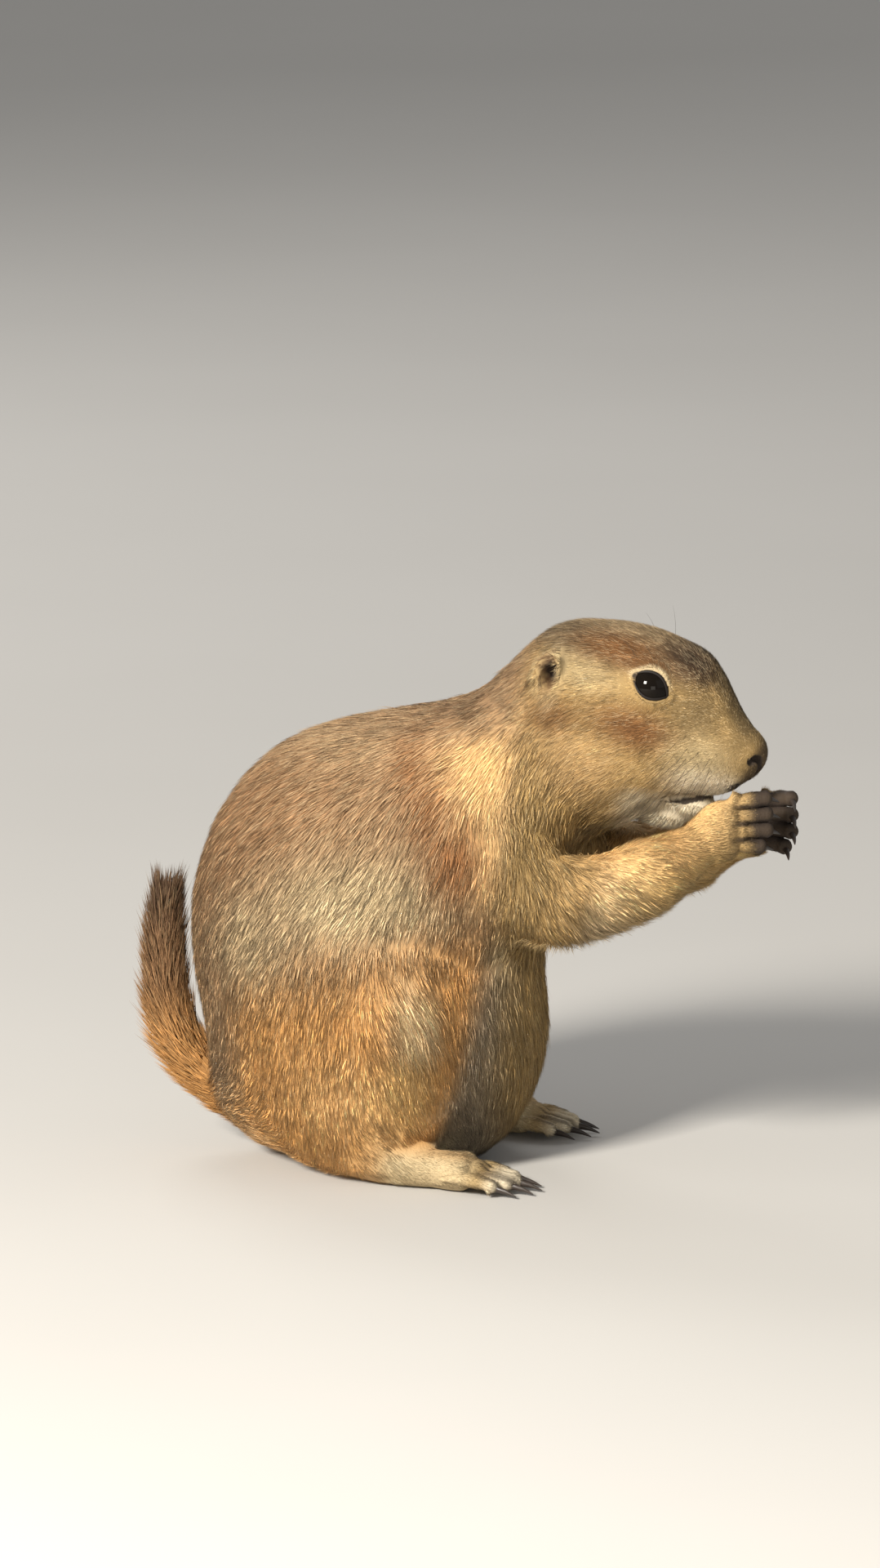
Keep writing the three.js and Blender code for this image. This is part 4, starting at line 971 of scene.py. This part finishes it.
def painted(variation, bump):
    """A finish coloured by the mesh's own paint, with a fine variation."""
    def inputs_of(tree):
        amount = ranged(tree, 420.0, 1 - variation, 1 + variation)
        grey = outputs(tree, "CombineColor", {"Red": amount, "Green": amount, "Blue": amount})["Color"]
        own = outputs(tree, "VertexColor", {}, layer_name="coat")["Color"]
        tint = outputs(tree, "Mix", {"Factor": 1.0, "A": own, "B": grey},
                       data_type="RGBA", blend_type="MULTIPLY")
        inputs = {"Base Color": tint["Result"], "Roughness": ranged(tree, 900.0, 0.65, 0.85),
                  "Specular IOR Level": 0.2}
        if bump:
            rise = {"Strength": bump, "Distance": 0.0004, "Height": noise(tree, 1600.0)}
            inputs["Normal"] = outputs(tree, "Bump", rise)["Normal"]
        return inputs
    return inputs_of


def two_tone(first, second, scale, rough, specular=0.5):
    """A finish that wanders between two colours; rough is a value, or a noise's scale and its range."""
    def inputs_of(tree):
        tones = {"Factor": noise(tree, scale), "A": (*first, 1), "B": (*second, 1)}
        return {"Base Color": outputs(tree, "Mix", tones, data_type="RGBA")["Result"],
                "Roughness": ranged(tree, *rough) if isinstance(rough, tuple) else rough,
                "Specular IOR Level": specular}
    return inputs_of


SKIN_LOOK = material("skin", painted(0.12, 0.5))
FUR_LOOK = material("fur", painted(0.10, 0))
EYE_LOOK = material("eye", two_tone(
    (0.003, 0.002, 0.002), (0.007, 0.005, 0.003), 300.0, (700.0, 0.03, 0.07), 0.13))
HORN = two_tone((0.018, 0.013, 0.01), (0.045, 0.033, 0.026), 500.0, (900.0, 0.3, 0.5))
HORN_LOOK = material("horn", HORN)
WHISKER_LOOK = material("whisker", HORN)
LID_LOOK = material("lid", two_tone(
    (0.005, 0.004, 0.004), (0.014, 0.010, 0.008), 1500.0, (900.0, 0.5, 0.65), 0.2))
FLOOR_LOOK = material("plaster", two_tone((0.47, 0.46, 0.44), (0.52, 0.51, 0.49), 3.0, 0.8))

# Making the pieces
skin_points, skin_triangles, skin_edges = make_skin()
skin_normals = vertex_normals(skin_points, skin_triangles)
skin_arm = averaged(arm_share(skin_points)[:, None], skin_edges, 3)[:, 0]
skin_tail = tail_share(skin_points)
skin_length = guided(skin_points, skin_arm)[1]


def finger_share(points):
    """1 on the bare ends of the fingers and on the palm's side of them."""
    reach = hand_reach(points)
    middle = FINGER["y"] - 0.2 * (reach - FINGER["x"]) - 0.5 * np.maximum(reach - 99, 0)
    palm = ramp(middle - np.abs(points[:, 1]), 0, 1.2) * ramp(reach, 89, 92)
    on_hands = (points[:, 0] > 88) & (points[:, 2] < HAND_TOP)
    return np.maximum(ramp(reach, 96.5, 101), palm) * on_hands


def bare_share(points, arm):
    """1 where no hair grows: over the eyes, in the nostrils and mouth, on the finger ends."""
    head = to_head(points)
    bare = finger_share(points)
    for _, side in SIDES:
        bare = np.maximum(bare, ramp(1.1 - eye_opening(points, side), 0, 0.06))
        bare = np.maximum(bare, ramp(1.5 - nostril_distance(points, side), 0, 0.4))
        bare = np.maximum(bare, ramp(0.62 - ear_reach(points, side), 0, 0.2))
    u, v, w = head[:, 0], np.abs(head[:, 1]), head[:, 2]
    upper = -20.4 + 8.0 * smooth((u - MOUTH_START) / 20)
    lower = np.maximum(-20.4 + 3.2 * smooth((u - MOUTH_START) / 24), upper - 2.2)
    slit = (u > MOUTH_START + 0.5) & (w < upper) & (w > lower) & (v < 14) & (arm < 0.5)
    return np.maximum(bare, slit.astype(float))


skin_middle = markings(skin_points, skin_arm, skin_tail)[0]
skin_bare = bare_share(skin_points, skin_arm)
skin_mesh = mesh_from("skin", skin_points, skin_triangles)
paint(skin_mesh, blend(skin_middle * 0.7, (LEATHER, skin_bare * 0.95)))
skin = piece("skin", skin_mesh, SKIN_LOOK)
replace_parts(skin, *FLESH)


# Two kinds of tuft dress the skin: bent locks where the coat is long, and finer straight hairs all over.
# Width is given as the least and the gain for each millimetre of length, and most as tufts to a square one.
LAYERS = {
    "lock": {"cover": 0.42, "width": (0.14, 0.016), "most": 2.0, "shortest": 5.6, "rings": 2},
    "hair": {"cover": 2.3, "width": (0.16, 0.004), "most": 8.5, "shortest": 0.0, "rings": 1},
}
# Where the coat hangs in long fringes: centre, radii, and how much longer it is
FRINGES = [
    ((30, 20, 72), (8, 22, 8), 0.35), ((62, 30, 79), (20, 14, 7), 0.30),
    ((6, 51, 50), (7, 9, 14), 0.30), ((28, 34, 112), (16, 14, 16), 0.15),
]


def tuft_width(length, layer):
    return layer["width"][0] + layer["width"][1] * length


def coat_roots(layer):
    """Roots of a layer's tufts, the skin's normals there, and the shares of arm and of tail."""
    density = layer["cover"] / (tuft_width(skin_length, layer) * skin_length * 0.6)
    density = np.clip(density, 0, layer["most"]) * (1 - skin_bare) * (1 - skin_tail)
    density = density * ramp(skin_points[:, 2], 1.0, 2.5)
    density = density * ramp(skin_length, layer["shortest"] - 0.6, layer["shortest"])
    face, weights = scattered(skin_points, skin_triangles, density)

    def there(values):
        return np.einsum("ij,ijk->ik", weights, values[skin_triangles[face]])

    return there(skin_points), unit(there(skin_normals)), there(skin_arm[:, None])[:, 0], there(
        skin_tail[:, None])[:, 0]


def tuft_colours(root, lie, length, arm, tail, rings):
    """Colours at the root, middle and end of each tuft, some of which have pale or dark ends."""
    count = len(root)
    colour, end, pale, dark = markings(root, arm, tail)
    streak = streaked(root, lie, length, STREAK)
    spread = np.where(length < 4, 0.18, 0.12)
    tone = 0.04 * mottle(root, 4, 10) + 0.16 * streak + rng.normal(0, 1, count) * spread
    tone = np.exp(tone)[:, None]
    draw = rng.random(count) - 0.14 * streak
    is_pale = (draw < pale)[:, None]
    is_dark = (draw > 1 - dark)[:, None]
    end = np.where(is_pale, colour * 0.55 + np.array(CREAM) * 0.45, end * tone)
    middle = np.where(is_pale, colour * tone * 0.8 + np.array(CREAM) * 0.18, colour * tone)
    end = np.where(is_dark, colour * 0.3, end)
    middle = np.where(is_dark, middle * 0.5, middle)
    base = (colour * 0.75 if rings == 2 else middle * 0.9) * tone
    return [np.clip(c, 0, 1) for c in (base, middle, end)]


def make_coat(kind, layer):
    root, normal, arm, tail = coat_roots(layer)
    lie, length = guided(root, arm)
    count = len(root)
    waver = np.stack([mottle(root, 9, 8) for _ in range(3)], axis=1)
    lie = unit(lie + 0.08 * waver + rng.normal(0, 0.10, (count, 3)))
    longer = np.max([gain * blob(root, centre, radii) for centre, radii, gain in FRINGES], axis=0)
    length = length * rng.uniform(0.75, 1.15, count) * (1 + longer)
    stray = rng.random(count) < STRAYS
    width = tuft_width(length, layer) * rng.uniform(0.75, 1.25, count) * np.where(stray, 0.6, 1)
    lift = rng.normal(LIFT, 4, count) + stray * rng.uniform(4, 16, count)
    base, middle, tip, across, thick = tuft_lines(root, normal, lie, length, lift)
    tip = clumped(root, tip, CLUMP, rng.uniform(0.0, 0.16, count) * (length > 3))
    colours = tuft_colours(root, lie, length, arm, tail, layer["rings"])
    tufts = (root, base, middle, tip, across, thick, width, *colours)
    most = MOST_TRIANGLES // len(CORNERS[layer["rings"]])
    for name, members in coat_groups(kind, root, arm, most).items():
        mesh = tuft_mesh(name, layer["rings"], *(part[members] for part in tufts))
        piece(name, mesh, FUR_LOOK)


def coat_groups(kind, root, arm, most):
    """Tufts of each coat piece: parts of the body, split further where there are many."""
    parts = [arm >= 0.5, before_nape(root) > -20, root[:, 2] < 66]
    names = np.select(parts, ["arm", "head", "leg"], "trunk")
    groups = {}
    for name in ("head", "arm", "trunk", "leg"):
        for side_name, side in SIDES:
            members = np.nonzero((names == name) & (np.sign(root[:, 1] + 1e-9) == side))[0]
            order = members[np.argsort(root[members, 0])]
            for i, part in enumerate(np.array_split(order, math.ceil(len(members) / most))):
                groups[f"coat_{kind}_{name}_{side_name}_{i + 1}"] = np.sort(part)
    return groups


for kind, layer in LAYERS.items():
    make_coat(kind, layer)


def make_brush():
    """Tapering locks of the tail, leaving its core and lying over towards its end."""
    count = BRUSH_LOCKS
    share = rng.uniform(0.08, 1, count)
    index = (share * (len(TAIL_LINE) - 1)).astype(int)
    along = TAIL_ALONG[index]
    angle = rng.uniform(0, 2 * math.pi, count)
    up = unit(np.cross(along, vec(0, 1, 0)))
    outward = vec(0, 1, 0) * np.cos(angle)[:, None] + up * np.sin(angle)[:, None]
    root = TAIL_LINE[index] + outward * shaped(share, TAIL_CORE)[:, None] * 0.92
    growth = ramp(share, 0.15, 0.5)
    ending = ramp(share, 0.8, 1)
    length = (7 + 4.5 * growth) * rng.uniform(0.6, 1.15, count) * (1 - 0.2 * ending * rng.random(count))
    width = rng.uniform(0.2, 0.4, count)
    lift = rng.normal(20, 6, count) + 10 * growth - 7 * ending
    lie = unit(along + rng.normal(0, 0.12, (count, 3)))
    lines = tuft_lines(root, outward, lie, length, lift, droop=0.45)
    colour = markings(root, np.zeros(count), np.ones(count))[0]
    tone = np.exp(rng.normal(0, 0.25, count))[:, None]
    pale = (rng.random(count) < 0.2)[:, None]
    mid_colour = np.where(pale, colour * 0.8 + np.array(ORANGE) * 0.1, colour) * tone
    end_colour = np.where(pale, colour * 0.6 + np.array(PALE) * 0.2, colour * 0.85 + np.array(RUST) * 0.08)
    colours = [np.clip(c, 0, 1) for c in (colour * 0.6, mid_colour, end_colour * tone)]
    mesh = tuft_mesh("coat_tail", 2, root, *lines, width, *colours)
    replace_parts(piece("coat_tail", mesh, FUR_LOOK), "tail_brush")


make_brush()


# Section of the bare margin of the lids: how far out from the opening, and how far off the eyeball
LID_PROFILE = ((-0.5, 0.03), (-0.38, 0.22), (-0.15, 0.38), (0.1, 0.45),
               (0.4, 0.5), (0.5, -0.3), (-0.1, -0.6), (-0.45, -0.3))
LID_STEPS = 96


def lid_margin(side):
    """The thin bare rim of an eye's lids, a closed ring that rests on the eyeball."""
    out, along, up = eye_axes(side)
    rings = []
    for grow, lifted in LID_PROFILE:
        a, b = almond(LID_STEPS, grow)
        inside = np.sqrt(np.maximum((EYE["radius"] + lifted) ** 2 - a ** 2 - b ** 2, 1.0))
        rings.append(a[:, None] * along + b[:, None] * up + out * inside[:, None])
    local = np.stack(rings, axis=1).reshape(-1, 3)
    sides = len(LID_PROFILE)
    triangles = []
    for i in range(LID_STEPS):
        here, after = i * sides, (i + 1) % LID_STEPS * sides
        for s in range(sides):
            t = (s + 1) % sides
            triangles += [(here + s, after + s, here + t), (here + t, after + s, after + t)]
    triangles = np.array(triangles)
    if np.sum(local[triangles[:, 0]] * triangle_normals(local, triangles)) < 0:
        triangles = triangles[:, ::-1]
    return local + eye_centre(side), triangles


# Whiskers: places on the head in u and w, and lengths; the two high ones stand over the eye
WHISKERS = [(39 - 3.6 * n + 0.8 * row, -1.0 - 3.0 * row + 0.5 * n, 16 + 5 * n)
            for row in range(4) for n in range(4)] + [(13.5, 22, 13), (8, 21, 11), (4, -14, 14)]


def whisker(side, u, w, length):
    """A long fine tapering hair that springs from the skin and bends back and down."""
    start = in_head(u, 0, w) + vec(0, side * 40, 0)
    found = SKIN_TREE.ray_cast(Vector(start), Vector((0, -side, 0)))
    root, normal = np.array(found[0]), np.array(found[1])
    lie = vec(-0.5, 0.35 * side, 0.8) if w > 20 else vec(-0.75, 0.55 * side, -0.55)
    lie = unit(lie + rng.normal(0, 0.2, 3))
    t = np.linspace(0, 1, 7)
    first = unit(lie + normal * 1.3)
    path = root - normal * 0.4 + first * (length * t)[:, None] + (
        (lie - first) * (t * t * length * 0.55)[:, None]) - vec(0, 0, 1) * (t * t * length * 0.10)[:, None]
    along = unit(np.gradient(path, axis=0))
    across = unit(np.cross(along, vec(0.1, 0, 1)))
    return ringed(path, across, np.cross(across, along), WHISKER_RADIUS * (1 - 0.8 * t), 3)


SKIN_TREE = BVHTree.FromPolygons(skin_points.tolist(), skin_triangles.tolist())
for side_name, side in SIDES:
    eyeball = mesh_from("eyeball", *sphere(eye_centre(side), EYE["radius"], 64, 40))
    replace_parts(piece(f"eyeball_{side_name}", eyeball, EYE_LOOK), f"eye_{side_name}")
    piece(f"lid_margin_{side_name}", mesh_from("lid_margin", *lid_margin(side)), LID_LOOK)
    hairs = joined([whisker(side, *row) for row in WHISKERS])
    piece(f"whiskers_{side_name}", mesh_from("whiskers", *hairs), WHISKER_LOOK)
    for digit_name, count in (("finger", 4), ("toe", 5)):
        for index in range(count):
            name = f"{digit_name}_claw_{side_name}_{index + 1}"
            claw = piece(name + "_horn", mesh_from(name, *merged_copy(name)), HORN_LOOK)
            rounded = claw.modifiers.new("rounded", "SUBSURF")
            rounded.levels = rounded.render_levels = 2
            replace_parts(claw, name)


# Stage, lights and camera
def staged(name, data, place=(0, 0, 0), turn=None):
    obj = placed(name, data)
    obj.location = place
    if turn:
        obj.rotation_mode = "QUATERNION"
        obj.rotation_quaternion = turn
    return obj


AZIMUTH = 13
ELEVATION = 11
# The camera's place in its own view: right of the origin, above it and away from it
CAMERA_AT = Vector((-0.008, 0.1148, 4.0))
view = Euler((math.radians(90 - ELEVATION), 0, math.radians(AZIMUTH))).to_matrix()
camera = staged("camera", bpy.data.cameras.new("camera"), view @ CAMERA_AT, view.to_quaternion())
camera.data.lens = 300
camera.data.sensor_width = 36
bpy.context.scene.camera = camera

floor_mesh = bpy.data.meshes.new("floor")
floor_mesh.from_pydata([(-4, -4, 0), (4, -4, 0), (4, 4, 0), (-4, 4, 0)], [], [(0, 1, 2, 3)])
floor_mesh.materials.append(FLOOR_LOOK)
staged("floor", floor_mesh)

LIT_AT = Vector((0, 0, 0.09))
# Place, size, power and colour of each lamp
LAMPS = {
    "key": ((-0.6, -1.55, 0.95), 0.4, 76, (1, 0.94, 0.85)),
    "fill": ((1.5, -0.9, 0.7), 1.2, 2, (0.96, 0.97, 1)),
    "bounce": ((0.5, -1.3, 0.12), 0.5, 3, (1, 0.93, 0.82)),
    "rim": ((-0.9, 1.3, 1.1), 0.8, 10, (1, 0.97, 0.93)),
}
for name, (place, size, power, tint) in LAMPS.items():
    aim = (LIT_AT - Vector(place)).to_track_quat("-Z", "Y")
    lamp = staged(name, bpy.data.lights.new(name, "AREA"), place, aim)
    lamp.data.size = size
    lamp.data.energy = power
    lamp.data.color = tint
    lamp.visible_camera = False

world = bpy.data.worlds.new("world")
world.use_nodes = True
background = world.node_tree.nodes["Background"]
background.inputs["Color"].default_value = (0.9, 0.9, 0.9, 1)
background.inputs["Strength"].default_value = 0.38
bpy.context.scene.world = world
bpy.context.scene.view_settings.view_transform = "Standard"
